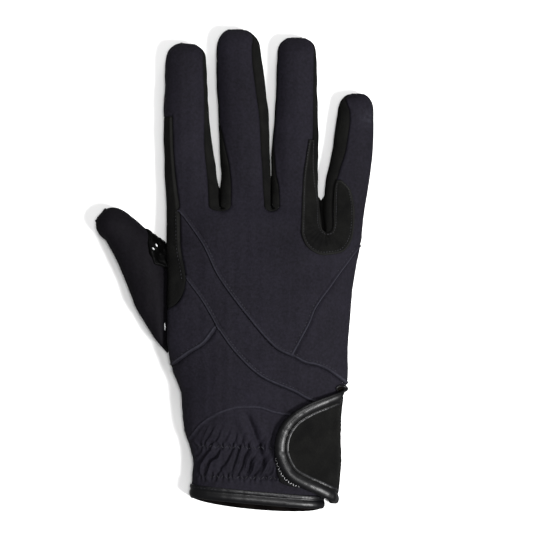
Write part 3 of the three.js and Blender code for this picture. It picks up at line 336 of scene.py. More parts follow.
# Sheet along a finger: across it by the angle of the rounded section between two lines, down
# it from the tip to a level at the root
def alongFinger(f, edgeShare, levels, face):
    def at(u, v, depth=0.0):
        t = np.clip((v - tipShare) / (1 - tipShare), 0, 1)
        y = mix(capY(f), mix(levels[0], levels[1], u), t)
        angles = [np.arccos(np.clip(edgeShare(side, y), -1, 1)) for side in (0, 1)]
        a = np.cos(mix(angles[0], angles[1], u))
        middle, half, _ = fingerSection(f, y)
        body = (backPoint if face > 0 else palmPoint)(middle + half * a, y, depth, f)
        return np.where((v < tipShare - 1e-6)[..., None], capPoint(f, v, a, depth, face), body)
    return at


def seamShare(f, side, y, inset):
    sign = 1 if side else -1
    return sign * np.maximum(0, 1 - inset / fingerSection(f, y)[1])


# Seams on the back, as shares of the knuckle width and of the hand's length
stripInset = smoothColumn([(0, 0.24), (0.026, 0.25), (0.12, 0.255), (0.19, 0.29), (0.263, 0.345)], 1)
seamRows = {
    "upper": [(0.07, 0.026), (0.18, 0.139), (0.263, 0.257), (0.407, 0.394), (0.541, 0.501), (0.64, 0.537)],
    "upperEnd": [(0.64, 0.537), (0.7, 0.56), (0.759, 0.569), (0.826, 0.59), (0.91, 0.64)],
    "lower": [(0.1, 0.263), (0.18, 0.341), (0.256, 0.435)],
    "lowerEnd": [
        (0.256, 0.435), (0.348, 0.524), (0.474, 0.607), (0.641, 0.661), (0.717, 0.69), (0.86, 0.735),
    ],
    "thumbLine": [(0.035, 0.573), (0.121, 0.524), (0.196, 0.49), (0.256, 0.435)],
    "littleLine": [(0.64, 0.537), (0.722, 0.431), (0.772, 0.354), (0.89, 0.237), (0.975, 0.152)],
    "panelLine": [(0, 0.365), (0.045, 0.352), (0.08, 0.318), (0.1, 0.263)],
}


def sideSeamX(y):
    return handSection(y)["left"] + indexFinger["width"] * stripInset(-y / handLength)


seamEnds = {  # which line each seam starts and ends on, where it isn't free
    "upper": (sideSeamX, None), "upperEnd": (None, lambda y: handSection(y)["right"]),
    "lower": (sideSeamX, None), "lowerEnd": (None, lambda y: handSection(y)["right"]),
    "thumbLine": (lambda y: handSection(y)["left"], None),
    "littleLine": (None, lambda y: handSection(y)["right"]),
    "panelLine": (lambda y: handSection(y)["left"], sideSeamX),
}
seam = {}
for name, rows in seamRows.items():
    plan = np.array(rows) * (knuckleWidth, -handLength)
    for end, line in zip((0, -1), seamEnds[name]):
        if line:
            plan[end, 0] = line(plan[end, 1])
    seam[name] = splineThrough(plan)


# Two plan curves as one, with the join at a share of the new t
def joined(first, second, at):
    def curve(t):
        t = np.asarray(t, float)
        return np.where((t < at)[..., None], first(t / at), second((t - at) / (1 - at)))
    return curve


def partOf(curve, start, end):
    return lambda t: curve(mix(start, end, np.asarray(t, float)))


def straight(a, b):
    return lambda t: mix(np.asarray(a), np.asarray(b), np.asarray(t, float)[..., None])


def edgeLine(side, start, end):
    def curve(t):
        y = mix(start, end, np.asarray(t, float))
        return np.stack([handSection(y)[side], y], -1)
    return curve


def sideLine(start, end):
    def curve(t):
        y = mix(start, end, np.asarray(t, float))
        return np.stack([sideSeamX(y), y], -1)
    return curve


# Plan point to hand coordinates: the angle round the hand's section, and y
def toHand(p):
    h = handSection(p[..., 1])
    return np.stack([np.arccos(np.clip((p[..., 0] - h["middle"]) / h["half"], -1, 1)), p[..., 1]], -1)


def fromHand(q):
    h = handSection(q[..., 1])
    return np.stack([h["middle"] + h["half"] * np.cos(q[..., 0]), q[..., 1]], -1)


# Coons patch between four plan curves, blended in hand coordinates
def patch(top, bottom, left, right):
    corner = [toHand(c(np.float64(t))) for c, t in ((top, 0), (top, 1), (bottom, 0), (bottom, 1))]

    def at(u, v):
        a, b, c, d = toHand(top(u)), toHand(bottom(u)), toHand(left(v)), toHand(right(v))
        u, v = u[..., None], v[..., None]
        ruled = mix(a, b, v) + mix(c, d, u)
        return fromHand(ruled - mix(mix(corner[0], corner[1], u), mix(corner[2], corner[3], u), v))
    return at


# A seam passes below the end of a gap on half an ellipse, wide by its own inset
def notch(w, t, inset=None):
    turn = np.pi * t
    if inset is None:
        sides = backInset(w["left"], 1, w["y"]), backInset(w["right"], 0, w["y"])
        wide, deep = w["radius"] + np.where(t < 0.5, *sides), w["radius"] + glove["webDip"]
    else:
        wide = deep = w["radius"] + inset
    return np.stack([w["x"] - wide * np.cos(turn), w["y"] - deep * np.sin(turn)], -1)


print("shape functions ready")

# Relief of cloth: seams, folds and soft unevenness are heights added to the plain form
noiseDraw = np.random.default_rng(7)


# Sum of sine waves in drawn directions, with wave lengths near the given one
def unevenness(wave, count=9):
    turn = noiseDraw.uniform(0, 2 * np.pi, count)
    size = 2 * np.pi / (wave * noiseDraw.uniform(0.7, 1.5, count))
    phase = noiseDraw.uniform(0, 2 * np.pi, count)

    def at(x, y):
        way = np.multiply.outer(x, np.cos(turn) * size) + np.multiply.outer(y, np.sin(turn) * size)
        return np.sin(way + phase).sum(-1) / math.sqrt(count)
    return at


slack, crease = unevenness(17), unevenness(6)


# Distance from each point to the nearest point of a finely sampled line
def distanceTo(points, line):
    flat, found = points.reshape(-1, 3), []
    for chunk in np.array_split(flat, max(1, len(flat) // 3000)):
        gap = ((chunk[:, None, :] - line[None, :, :]) ** 2).sum(-1)
        found.append(np.sqrt(gap.min(1)))
    return np.concatenate(found).reshape(points.shape[:-1])


def onBackLine(curve, count=260, f=None):
    p = curve(np.linspace(0, 1, count))
    return backPoint(p[:, 0], p[:, 1], 0, f)


handSeams = {name: onBackLine(curve) for name, curve in seam.items()}
handSeams["side"] = onBackLine(sideLine(-3.51, -0.263 * handLength))
for i, w in enumerate(webs):
    handSeams[f"notch{i}"] = onBackLine(lambda t: notch(w, t))


# Height near seams: a groove on each line, and a rolled ridge 1.3 mm inside the edges where
# this panel lies over its neighbour
def seamRelief(points, over=(), under=()):
    height, worn = np.zeros(points.shape[:-1]), np.zeros(points.shape[:-1])
    for group, width in ((under, 0.85), (over, 0.45)):
        for name in group:
            d = distanceTo(points, handSeams[name])
            height = np.minimum(height, -0.6 * bell(d, width))
    for name in over:
        d = distanceTo(points, handSeams[name])
        height = height + 0.5 * bell(d - 1.0, 0.62) * (1 - bell(d, 0.4)) - 0.14 * bell(d - 2.2, 0.35)
        worn = np.maximum(worn, 0.75 * bell(d - 0.9, 0.34))
    return height, worn


# Mesh helpers
# Corner numbers of the squares between neighbouring rows and columns of a grid
def gridFaces(rows, columns, start):
    at = start + np.arange(rows * columns).reshape(rows, columns)
    return np.stack([at[:-1, :-1], at[:-1, 1:], at[1:, 1:], at[1:, :-1]], -1).reshape(-1, 4)


def newObject(name, vertices, faces, material, smooth=True):
    mesh = bpy.data.meshes.new(name)
    mesh.from_pydata(vertices.tolist(), [], faces)
    mesh.update()
    mesh.polygons.foreach_set("use_smooth", [smooth] * len(mesh.polygons))
    mesh.materials.append(material)
    made = bpy.data.objects.new(name, mesh)
    bpy.context.scene.collection.objects.link(made)
    return made


def finishPiece(piece, slot, *nodes):
    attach(piece, "root")
    if nodes:
        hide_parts(*nodes)
    print(f"{piece.name}: {len(piece.data.polygons)} faces")
    return piece


# Sews grids of points where they meet, turns them to face outwards by the first grid's mean
# direction, and gives the sheet its thickness inwards
def panel(name, grids, material, facing, thickness=None, wear=None):
    vertices, faces, start = [], [], 0
    for grid in grids:
        rows, columns = grid.shape[:2]
        vertices.append(grid.reshape(-1, 3))
        faces.append(gridFaces(rows, columns, start))
        start += rows * columns
    first = grids[0]
    across = np.cross(first[1:, :-1] - first[:-1, :-1], first[:-1, 1:] - first[:-1, :-1])
    allFaces = np.concatenate(faces)
    if (across.reshape(-1, 3).sum(0) * facing).sum() > 0:
        allFaces = allFaces[:, ::-1]
    made = newObject(name, placed(np.concatenate(vertices)), allFaces.tolist(), material)
    worn = made.data.attributes.new("wear", "FLOAT", "POINT")
    if wear is not None:
        worn.data.foreach_set("value", np.concatenate([w.ravel() for w in wear]).astype(np.float32))
    work = bmesh.new()
    work.from_mesh(made.data)
    bmesh.ops.remove_doubles(work, verts=work.verts, dist=2e-5)
    bmesh.ops.dissolve_degenerate(work, dist=1e-6, edges=work.edges)
    work.to_mesh(made.data)
    work.free()
    made.data.polygons.foreach_set("use_smooth", [True] * len(made.data.polygons))
    wall = made.modifiers.new("wall", "SOLIDIFY")
    wall.thickness = (thickness or glove["cloth"]) / 1000
    wall.offset = -1
    wall.use_even_offset = False
    return made


# Grid of u across and v down
def uv(rows, columns):
    return np.meshgrid(np.linspace(0, 1, columns + 1), np.linspace(0, 1, rows + 1))


# Materials
# sRGB hex colour to linear values
def fromHex(code):
    parts = [int(code[i : i + 2], 16) / 255 for i in (1, 3, 5)]
    return [p / 12.92 if p <= 0.04045 else ((p + 0.055) / 1.055) ** 2.4 for p in parts] + [1.0]


def newMaterial(name):
    material = bpy.data.materials.new(name)
    material.use_nodes = True
    return material, material.node_tree, material.node_tree.nodes["Principled BSDF"]


# Adds a node; settings are its properties or input values, links its inputs
def addNode(tree, kind, links=None, **settings):
    node = tree.nodes.new(kind)
    for key, value in settings.items():
        if hasattr(node, key) and key not in node.inputs:
            setattr(node, key, value)
        else:
            node.inputs[key.replace("_", " ")].default_value = value
    for key, source in (links or {}).items():
        tree.links.new(source, node.inputs[key])
    return node


def objectPlace(tree):
    return addNode(tree, "ShaderNodeTexCoord").outputs["Object"]


# Texture scale for a pattern whose repeat is size millimetres, in metres of space
def millimetres(size):
    return 1000 / size


# Noise with blotches about size millimetres wide
def noise(tree, place, size, detail, **settings):
    links = {"Vector": place}
    node = addNode(tree, "ShaderNodeTexNoise", links, Scale=millimetres(size), Detail=detail, **settings)
    return node.outputs["Fac"]


# Cells about size millimetres wide, as the distance from the middle of each
def cells(tree, place, size, **settings):
    node = addNode(tree, "ShaderNodeTexVoronoi", {"Vector": place}, Scale=millimetres(size), **settings)
    return node.outputs["Distance"]


# Bands of a sine wave. Along x one radian takes size millimetres, and on a slant twice that
def bands(tree, place, size, direction, **settings):
    links = {"Vector": place}
    node = addNode(tree, "ShaderNodeTexWave", links, Scale=millimetres(size) / 20,
                   bands_direction=direction, **settings)
    return node.outputs["Fac"]


# One value with another value or with a number
def combined(tree, first, second, operation="MULTIPLY"):
    node = addNode(tree, "ShaderNodeMath", {0: first}, operation=operation)
    if isinstance(second, float):
        node.inputs[1].default_value = second
    else:
        tree.links.new(second, node.inputs[1])
    return node.outputs[0]


# Colour that goes by a share from a source to a hex colour
def blend(tree, share, source, code):
    node = addNode(tree, "ShaderNodeMix", {"Factor": share}, data_type="RGBA")
    tree.links.new(source, node.inputs[6])
    node.inputs[7].default_value = fromHex(code)
    return node.outputs[2]


def colourRamp(tree, source, stops):
    ramp = addNode(tree, "ShaderNodeValToRGB", {"Fac": source})
    while len(ramp.color_ramp.elements) < len(stops):
        ramp.color_ramp.elements.new(0.5)
    for element, (place, code) in zip(ramp.color_ramp.elements, stops):
        element.position = place
        element.color = fromHex(code)
    return ramp.outputs["Color"]


def bumpFrom(tree, height, distance, normal=None):
    links = {"Height": height}
    if normal:
        links["Normal"] = normal
    bump = addNode(tree, "ShaderNodeBump", links, Distance=distance / 1000, Strength=1.0)
    return bump.outputs["Normal"]


# The piece's own wear, broken up by a pattern
def wornShare(tree, pattern):
    rubbed = addNode(tree, "ShaderNodeAttribute", attribute_name="wear")
    return combined(tree, rubbed.outputs["Fac"], pattern)


# Sets a finish; what isn't given keeps the shader's own value
def setFinish(tree, shader, roughness, specular=None, colour=None, normal=None):
    shader.inputs["Roughness"].default_value = roughness
    if specular is not None:
        shader.inputs["Specular IOR Level"].default_value = specular
    for socket, source in (("Base Color", colour), ("Normal", normal)):
        if source is not None:
            tree.links.new(source, shader.inputs[socket])


# Material whose one pattern gives its colour and, by bump millimetres, its relief
def onePattern(name, pattern, stops, roughness, specular=None, bump=None):
    material, tree, shader = newMaterial(name)
    source = pattern(tree, objectPlace(tree))
    normal = bumpFrom(tree, source, bump) if bump else None
    setFinish(tree, shader, roughness, specular, colourRamp(tree, source, stops), normal)
    return material


# shadeDark and shadeLight are the knit's colours darkened as painted shade, for the thumb
cloth = {
    "dark": "#09080c", "light": "#19171f", "shadeDark": "#040305", "shadeLight": "#0d0b10",
    "worn": "#36363e", "sheen": 0.02, "cloudShare": 0.35, "fuzz": 1.25, "cloud": 22,
    "rib": 0.9,  # the wave repeats every 5.7 mm, coarser than the knit's real ribs of 0.5 mm
}


# Warp-knit softshell of polyamide and elastane: matt, with a low wavy rib and a faint blue
# cast, slightly paler where it is stretched
def makeStretch(name, dark, light):
    material, tree, shader = newMaterial(name)
    place = objectPlace(tree)
    rib = bands(tree, place, cloth["rib"], "X", Distortion=1.2, Detail=2.0, Detail_Scale=3.0)
    fuzz = noise(tree, place, cloth["fuzz"], 6.0, Roughness=0.7)
    cloud = noise(tree, place, cloth["cloud"], 3.0)
    tone = addNode(tree, "ShaderNodeMath", {0: cloud, 2: fuzz}, operation="MULTIPLY_ADD")
    tone.inputs[1].default_value = cloth["cloudShare"]
    plain = colourRamp(tree, tone.outputs[0], [(0.42, dark), (0.95, light)])
    colour = blend(tree, wornShare(tree, fuzz), plain, cloth["worn"])
    setFinish(tree, shader, 0.78, 0.08, colour, bumpFrom(tree, fuzz, 0.16, bumpFrom(tree, rib, 0.09)))
    shader.inputs["Sheen Weight"].default_value = cloth["sheen"]
    shader.inputs["Sheen Roughness"].default_value = 0.45
    shader.inputs["Sheen Tint"].default_value = fromHex("#8c8ca0")
    return material


suede = {"dark": "#070707", "light": "#111110", "worn": "#2a2a29", "nap": 0.65, "cloud": 9}


# Synthetic suede: microfibre with a short brushed nap, so it is duller and warmer than the
# knit, with patches where the nap lies another way
def makeSuede():
    material, tree, shader = newMaterial("blackSuede")
    place = objectPlace(tree)
    nap = noise(tree, place, suede["nap"], 8.0, Roughness=0.75)
    cloud = noise(tree, place, suede["cloud"], 4.0, Distortion=0.6)
    plain = colourRamp(tree, combined(tree, nap, cloud), [(0.14, suede["dark"]), (0.4, suede["light"])])
    colour = blend(tree, wornShare(tree, nap), plain, suede["worn"])
    setFinish(tree, shader, 0.95, 0.06, colour, bumpFrom(tree, nap, 0.18))
    shader.inputs["Sheen Weight"].default_value = 0.015
    shader.inputs["Sheen Tint"].default_value = fromHex("#6e6e68")
    return material


# Polyurethane-coated binding: glossy black with a fine pressed grain
def makeLeather():
    material, tree, shader = newMaterial("glossyCoatedBinding")
    place = objectPlace(tree)
    grain = cells(tree, place, 0.8, feature="F1")
    soft = noise(tree, place, 4, 3.0)
    colour = colourRamp(tree, soft, [(0.3, "#040405"), (0.75, "#08080a")])
    setFinish(tree, shader, 0.37, 0.24, colour, bumpFrom(tree, soft, 0.12, bumpFrom(tree, grain, 0.02)))
    return material


palmCloth = {"dot": 1.3, "pitch": 3.2, "printHeight": 0.6, "blur": 0.03, "print": "#8d9094"}


# Palm suede with a printed grip of small silver-grey dots in rows
def makePalm():
    material, tree, shader = newMaterial("printedPalmSuede")
    place = objectPlace(tree)
    nap = noise(tree, place, 0.8, 7.0, Roughness=0.7)
    base = colourRamp(tree, nap, [(0.3, "#080808"), (0.7, "#141413")])
    flat = addNode(tree, "ShaderNodeVectorMath", {0: place}, operation="MULTIPLY")
    flat.inputs[1].default_value = (1.0, 1.0, 0.0)
    dots = cells(tree, flat.outputs[0], palmCloth["pitch"], Randomness=0.0)
    edge = palmCloth["dot"] / palmCloth["pitch"] / 2
    inside = addNode(tree, "ShaderNodeMapRange", {"Value": dots}, From_Min=edge - palmCloth["blur"],
                     From_Max=edge + palmCloth["blur"], To_Min=1.0, To_Max=0.0)
    # The print ends where the palm turns up, so it shows only low down
    height = addNode(tree, "ShaderNodeSeparateXYZ", {"Vector": place}).outputs["Z"]
    low = combined(tree, height, palmCloth["printHeight"] / 1000, "LESS_THAN")
    printed = combined(tree, inside.outputs["Result"], low)
    normal = bumpFrom(tree, printed, 0.12, bumpFrom(tree, nap, 0.12))
    setFinish(tree, shader, 0.82, 0.12, blend(tree, printed, base, palmCloth["print"]), normal)
    return material


# Silicone grip print with aluminium powder: bright grey with a wide soft shine, set where the print catches
# the light as painted glints
def makeSilver():
    material, tree, shader = newMaterial("silverPrintPaintedGlint")
    shader.inputs["Base Color"].default_value = fromHex("#c9cacc")
    shader.inputs["Metallic"].default_value = 0.3
    setFinish(tree, shader, 0.45)
    return material


stretchCloth = makeStretch("navyBlackKnit", cloth["dark"], cloth["light"])
# The thumb: the same knit in darker colours, painted shade for the shade it lies in
thumbShadedCloth = makeStretch("navyBlackKnitPaintedShade", cloth["shadeDark"], cloth["shadeLight"])
suedeCloth, bindingLeather, palmSuede, glintSilver = makeSuede(), makeLeather(), makePalm(), makeSilver()
# Polyester sewing thread: black and a little shinier than the cloth
thread = onePattern("blackThread", lambda tree, place: bands(tree, place, 0.5, "DIAGONAL"),
                    [(0.2, "#111114"), (0.8, "#232328")], 0.6, 0.25)
# Woven loop tape for the closure: a tangle of nylon loops, black
loopPile = onePattern("loopPile", lambda tree, place: cells(tree, place, 0.7, feature="SMOOTH_F1"),
                      [(0.1, "#101011"), (0.7, "#050505")], 0.9, 0.08, 0.4)
# Undyed nylon thread of the closure's zigzag edge: light grey, with a soft shine
paleThread = onePattern("paleNylonThread", lambda tree, place: noise(tree, place, 0.6, 3.0),
                        [(0.3, "#6a6a6c"), (0.7, "#b4b4b6")], 0.5)
# Coated palm leather where it comes round the thumb's web: black and crinkled
webLeather = onePattern(
    "crinkledGripLeather", lambda tree, place: noise(tree, place, 2.2, 4.0, Distortion=0.8),
    [(0.3, "#010101"), (0.7, "#030303")], 0.45, 0.03, 0.1,
)
# Woven polyester tape: flat black, with a slanting weave, darker than the cloth: painted shade for the cuff's
# mouth and the hole in the tab's curl
shadeTape = onePattern("twillTapePaintedShade", lambda tree, place: bands(tree, place, 1.1, "DIAGONAL"),
                        [(0.1, "#040303"), (0.9, "#0a0807")], 0.9, 0.02, 0.08)
print("materials ready")

# Back of the hand with the backs of the four fingers
backPanel = {
    "columns": 22, "capRows": 22, "bodyRows": 64, "arc": 12, "handRows": 84, "slack": 0.16, "crease": 0.05,
}
stations = np.concatenate([
    np.linspace(0, tipShare, backPanel["capRows"] + 1)[:-1],
    np.linspace(tipShare, 1, backPanel["bodyRows"] + 1),
])
panelTop = tipShare + (1 - tipShare) * 3 / 8  # where the suede strip starts beside the finger
panelLevel = -0.026 * handLength * 0.7
backLevels = [(panelLevel, 0), (0, 0), (0, -12.5), (-12.5, -14.5)]
rubbedTip = np.array([96.8, 42.0])


def backStrip(i, edgeShare=None, levels=None):
    f = fingers[i]
    own = lambda side, y: seamShare(f, side, y, backInset(f, side, y))
    return alongFinger(f, edgeShare or own, levels or backLevels[i], 1)


# The index finger's thumb side, from its outer edge to the seam
def indexSideShare(side, y):
    return seamShare(indexFinger, 0, y, backInset(indexFinger, 0, y)) if side else -1.0 + 0 * y


# Slack of worn cloth: long low waves with short ones on them
def softFolds(x, y):
    return backPanel["slack"] * slack(x, y) + backPanel["crease"] * crease(x, y)


# Grooves along both seams of a finger's back, and the cloth's slack between
def fingerRelief(points, f, v):
    ends = [np.linalg.norm(points - points[:, [k]], axis=-1) for k in (0, -1)]
    if f is indexFinger:  # the side above the suede strip is one piece with the back
        ends[0] = np.where(v < panelTop - 1e-6, 99, ends[0])
    near = np.minimum(ends[0], ends[1])
    ridge = sum(0.25 * bell(d - 1.2, 0.8) for d in ends)
    grooves = -0.42 * bell(near, 0.6) + ridge * (1 - bell(near, 0.5))
    return grooves + softFolds(points[..., 0], points[..., 1]) * ease(near / 3)


def buildBack():
    grids, top = [], []
    u, v = np.meshgrid(np.linspace(0, 1, backPanel["columns"] + 1), stations)
    for i, f in enumerate(fingers):
        strip = backStrip(i)
        plain = strip(u, v)
        relief = fingerRelief(plain, f, v)
        grids.append(strip(u, v, -relief))
        top.append(plain[-1, :, :2])
        if i < 3:
            t = np.linspace(0, 1, backPanel["arc"] + 1)[1:-1]
            top.append(notch(webs[i], t))
    top = np.concatenate(top)
    ends = joined(seam["upper"], seam["littleLine"], 0.625)(np.linspace(0, 1, len(top)))
    v = np.linspace(0, 1, backPanel["handRows"] + 1)[:, None, None]
    plan = fromHand(mix(toHand(top)[None], toHand(ends)[None], v))
    x, y = plan[..., 0], plan[..., 1]
    plain = backPoint(x, y)
    relief, worn = seamRelief(plain, ("upper", "littleLine", "side"), ("notch0", "notch1", "notch2"))
    relief = relief + softFolds(x, y) * ease(distanceTo(plain, handSeams["upper"]) / 5)
    hand = backPoint(x, y, -relief)
    # The hand's first row is the fingers' last row, so both share the same points
    start = 0
    for i, grid in enumerate(grids):
        count = grid.shape[1]
        grid[-1] = hand[0, start : start + count]
        start += count + (backPanel["arc"] - 1)
    keep = stations <= panelTop + 1e-9
    side = backStrip(0, indexSideShare, (panelLevel, panelLevel))
    u, v = np.meshgrid(np.linspace(0, 1, 7), stations[keep])
    plain = side(u, v)
    near = np.linalg.norm(plain - plain[:, -1:], axis=-1)
    sideGrid = side(u, v, -softFolds(plain[..., 0], plain[..., 1]) * ease(near / 3))
    sideGrid[:, -1] = grids[0][keep, 0]
    grids.append(sideGrid)
    grids.insert(0, hand)
    # The cloth is rubbed pale on the seams' ridges and, in flecks, near the little fingertip
    wears = [worn]
    for g in grids[1:]:
        flecks = np.clip(0.5 + 0.6 * crease(2 * g[..., 0], 2 * g[..., 1]), 0, 1)
        wears.append(0.55 * bell(np.linalg.norm(g[..., :2] - rubbedTip, axis=-1), 3.4) * flecks)
    return finishPiece(panel("backMain", grids, stretchCloth, (0, 0, 1), wear=wears), "stretch", "back_main")


backMain = buildBack()


# One panel of the back between four seams, with its seams, slack and own relief
def backPatch(name, top, bottom, left, right, rows, columns, node, over, under, extra=None):
    u, v = uv(rows, columns)
    plan = patch(top, bottom, left, right)(u, v)
    x, y = plan[..., 0], plan[..., 1]
    plain = backPoint(x, y)
    relief, worn = seamRelief(plain, over, under)
    edge = np.min([distanceTo(plain, handSeams[n]) for n in (*over, *under)], axis=0)
    relief = relief + softFolds(x, y) * ease(edge / 4)
    if extra:
        more, rubbed = extra(x, y, plain)
        relief, worn = relief + more, np.maximum(worn, rubbed)
    made = panel(name, [backPoint(x, y, -relief)], stretchCloth, (0, 0, 1), wear=[worn])
    return finishPiece(made, "stretch", node)


ends = {name: (curve(0.0), curve(1.0)) for name, curve in seam.items()}
backBand = backPatch(
    "backBand", joined(seam["upper"], seam["upperEnd"], 0.65), joined(seam["lower"], seam["lowerEnd"], 0.25),
    sideLine(ends["upper"][0][1], ends["lower"][0][1]),
    edgeLine("right", ends["upperEnd"][1][1], ends["lowerEnd"][1][1]),
    44, 190, "back_band",
    over=("lower", "lowerEnd"), under=("upper", "upperEnd", "side"),
)
backUlnar = backPatch(
    "backUlnar", seam["littleLine"], seam["upperEnd"], straight(*[ends["littleLine"][0]] * 2),
    edgeLine("right", ends["littleLine"][1][1], ends["upperEnd"][1][1]),
    60, 70, "back_ulnar", over=("upperEnd",), under=("littleLine",),
)
backGusset = backPatch(
    "backGusset", seam["panelLine"], seam["thumbLine"],
    edgeLine("left", ends["panelLine"][0][1], ends["thumbLine"][0][1]), seam["lower"],
    60, 50, "back_thumb_gusset", over=("thumbLine",), under=("panelLine", "lower"),
)

# Suede strip down the index finger's thumb side, with a point on the hand's edge
def buildSideStrip():
    keep = stations >= panelTop - 1e-9
    strip = backStrip(0, indexSideShare, (panelLevel, panelLevel))
    u, v = np.meshgrid(np.linspace(0, 1, 13), stations[keep])
    upperPlain = strip(u, v)
    root = upperPlain[-1, :, :2]
    u2, v2 = uv(60, 12)
    plan = patch(
        lambda t: np.stack([np.interp(t, np.linspace(0, 1, 13), root[:, k]) for k in (0, 1)], -1),
        seam["panelLine"], edgeLine("left", panelLevel, ends["panelLine"][0][1]),
        sideLine(panelLevel, ends["panelLine"][1][1]),
    )(u2, v2)
    lowerPlain = backPoint(plan[..., 0], plan[..., 1])
    grids, wears = [], []
    sheets = (
        (upperPlain, lambda d: strip(u, v, d)),
        (lowerPlain, lambda d: backPoint(plan[..., 0], plan[..., 1], d)),
    )
    for plain, make in sheets:
        d = np.linalg.norm(plain - plain[:, -1:], axis=-1)
        top = np.abs(plain[..., 1] - upperPlain[0, 0, 1])
        foot = distanceTo(plain, handSeams["panelLine"])
        relief = 0.32 * bell(d - 1.2, 0.7) * (1 - bell(d, 0.5)) - 0.42 * bell(np.minimum(d, foot), 0.45)
        relief = relief - 0.3 * bell(top, 0.5) + 0.15 * slack(plain[..., 0], plain[..., 1]) * ease(d / 3)
        grids.append(make(-relief))
        wears.append(0.6 * bell(d - 0.8, 0.25))
    grids[1][0] = grids[0][-1]
    made = panel("indexSideStrip", grids, suedeCloth, (0, 0, 1), wear=wears)
    return finishPiece(made, "suede", "index_side_panel")


indexSideStrip = buildSideStrip()

# Wrist with its elastic gathers, the curved seam above them and one deep fold
wrist = {
    "gatherTop": -0.845 * handLength, "gatherRight": 0.57 * knuckleWidth, "pitch": 4.5, "depth": 0.72,
    "shirring": (-114.8, -129.2), "shirringSlant": 0.025, "puckerPitch": 2.6,
}
hemStart = glove["mouthInset"]
mouthY = -handLength - glove["hemSlant"]
mouth = handSection(mouthY)


def hemY(x):
    return -handLength - glove["hemSlant"] * np.clip((x - hemStart) / glove["mouthWidth"], 0, 1)


def hemLine(t):
    x = mouth["middle"] - mouth["half"] * np.cos(np.pi * np.asarray(t, float))
    return np.stack([x, hemY(x)], -1)


photo = {"step": 0.48, "steps": 533, "zero": (165.56, 205.5)}


# Plan curve through points counted in steps of 0.48 mm from the photograph's top left
def photoLine(*points):
    right, down = photo["zero"]
    return splineThrough([((px - right) * photo["step"], (down - py) * photo["step"]) for px, py in points])


archSeam = photoLine(
    (188, 440), (200, 424.2), (215, 414.2), (231.7, 407.5), (245, 406.2), (260, 406.7),
    (273.3, 411), (290, 414),
)
handSeams["archSeam"] = onBackLine(archSeam)
deepFold = photoLine((245, 411), (250, 424), (256, 440), (260, 452), (262, 464))


# Gathers between two shirred rows, a soft seam above, and the deep fold
def wristRelief(x, y, plain):
    h = handSection(y)
    top = wrist["gatherTop"] + 2.5
    fade = ease((top - y + 8) / 9) * ease((y + handLength - 1) / 5)
    over = ease((x - h["left"]) / 5) * ease((wrist["gatherRight"] + 2 - x) / 5)
    wander = 1.2 * slack(x * 1.1, y * 0.5) + 0.4 * crease(x * 0.7, y * 0.7)
    phase = 2 * np.pi * (x - 0.5 * y + wander) / wrist["pitch"]
    wave = np.sin(phase) + 0.45 * np.sin(2.1 * phase + 0.9 + 0.6 * crease(x, y))
    between = (0.5 + 0.5 * bell(y - wrist["shirring"][1] - 6, 8)) * (1 + 0.5 * slack(x * 0.9 + 7, y * 0.9))
    gathers = wrist["depth"] * between * fade * over * wave * (1 + 0.4 * crease(x * 0.5, y * 0.2))
    pucker = np.sin(2 * np.pi * x / wrist["puckerPitch"] + 1.5 * crease(x, y))
    pinch = 0
    for row in wrist["shirring"]:
        away = y - row + wrist["shirringSlant"] * x
        pinch = pinch - (0.55 * bell(away, 1.0) + 0.5 * pucker * bell(away, 2.0)) * over
    fold = deepFold(np.linspace(0, 1, 120))
    line = backPoint(fold[:, 0], fold[:, 1])
    d = distanceTo(plain, line)
    deep = (-1.5 * bell(d, 1.5) + 0.45 * bell(d - 3.6, 2.0)) * ease((line[0, 1] - y + 1) / 7)
    seamD = distanceTo(plain, handSeams["archSeam"])
    soft = -0.25 * bell(seamD - 1.1, 0.5) + 0.4 * bell(seamD, 0.6)
    rubbed = 0.6 * bell(seamD, 0.32) + 0.06 * ease(wave - 0.6) * fade * over
    for row in wrist["shirring"]:
        rubbed = rubbed + 0.2 * bell(y - row + wrist["shirringSlant"] * x, 1.2) * ease(pucker - 0.2) * over
    return gathers + pinch + deep + soft, np.clip(rubbed, 0, 1)


backWrist = backPatch(
    "backWrist", joined(seam["thumbLine"], seam["lowerEnd"], 0.42), hemLine,
    edgeLine("left", ends["thumbLine"][0][1], hemLine(0.0)[1]),
    edgeLine("right", ends["lowerEnd"][1][1], hemLine(1.0)[1]),
    110, 190, "back_wrist", over=(), under=("thumbLine", "lowerEnd"), extra=wristRelief,
)

# Side walls between the fingers, each one strip of suede round its web
# Station from the back's seam over the finger's edge to the palm's seam
def wall(f, u, backSeam, edge, palmSeam, inward, depth=0.0):
    up = (u < 0.5)[..., None]
    t = np.where(u < 0.5, np.sin(np.pi * u), np.sin(np.pi * (1 - u)))[..., None]
    plan = mix(np.where(up, backSeam, palmSeam), edge, t)
    x, y = plan[..., 0], plan[..., 1]
    point = np.where(up, backPoint(x, y, depth, f), palmPoint(x, y, depth, f))
    d = np.asarray(depth)[..., None] if np.ndim(depth) else depth
    turned = plan + d * inward * t * t
    point[..., :2] = mix(point[..., :2], turned, t * t)
    return point


# Grooves along both seams and low cross folds
def wallRelief(u, plain):
    ends = np.minimum(*[np.linalg.norm(plain - plain[:, [k]], axis=-1) for k in (0, -1)])
    folds = 0.14 * slack(plain[..., 0] * 0.4 + plain[..., 2], plain[..., 1] * 1.7)
    return -0.42 * bell(ends, 0.6) + folds * ease(ends / 2)


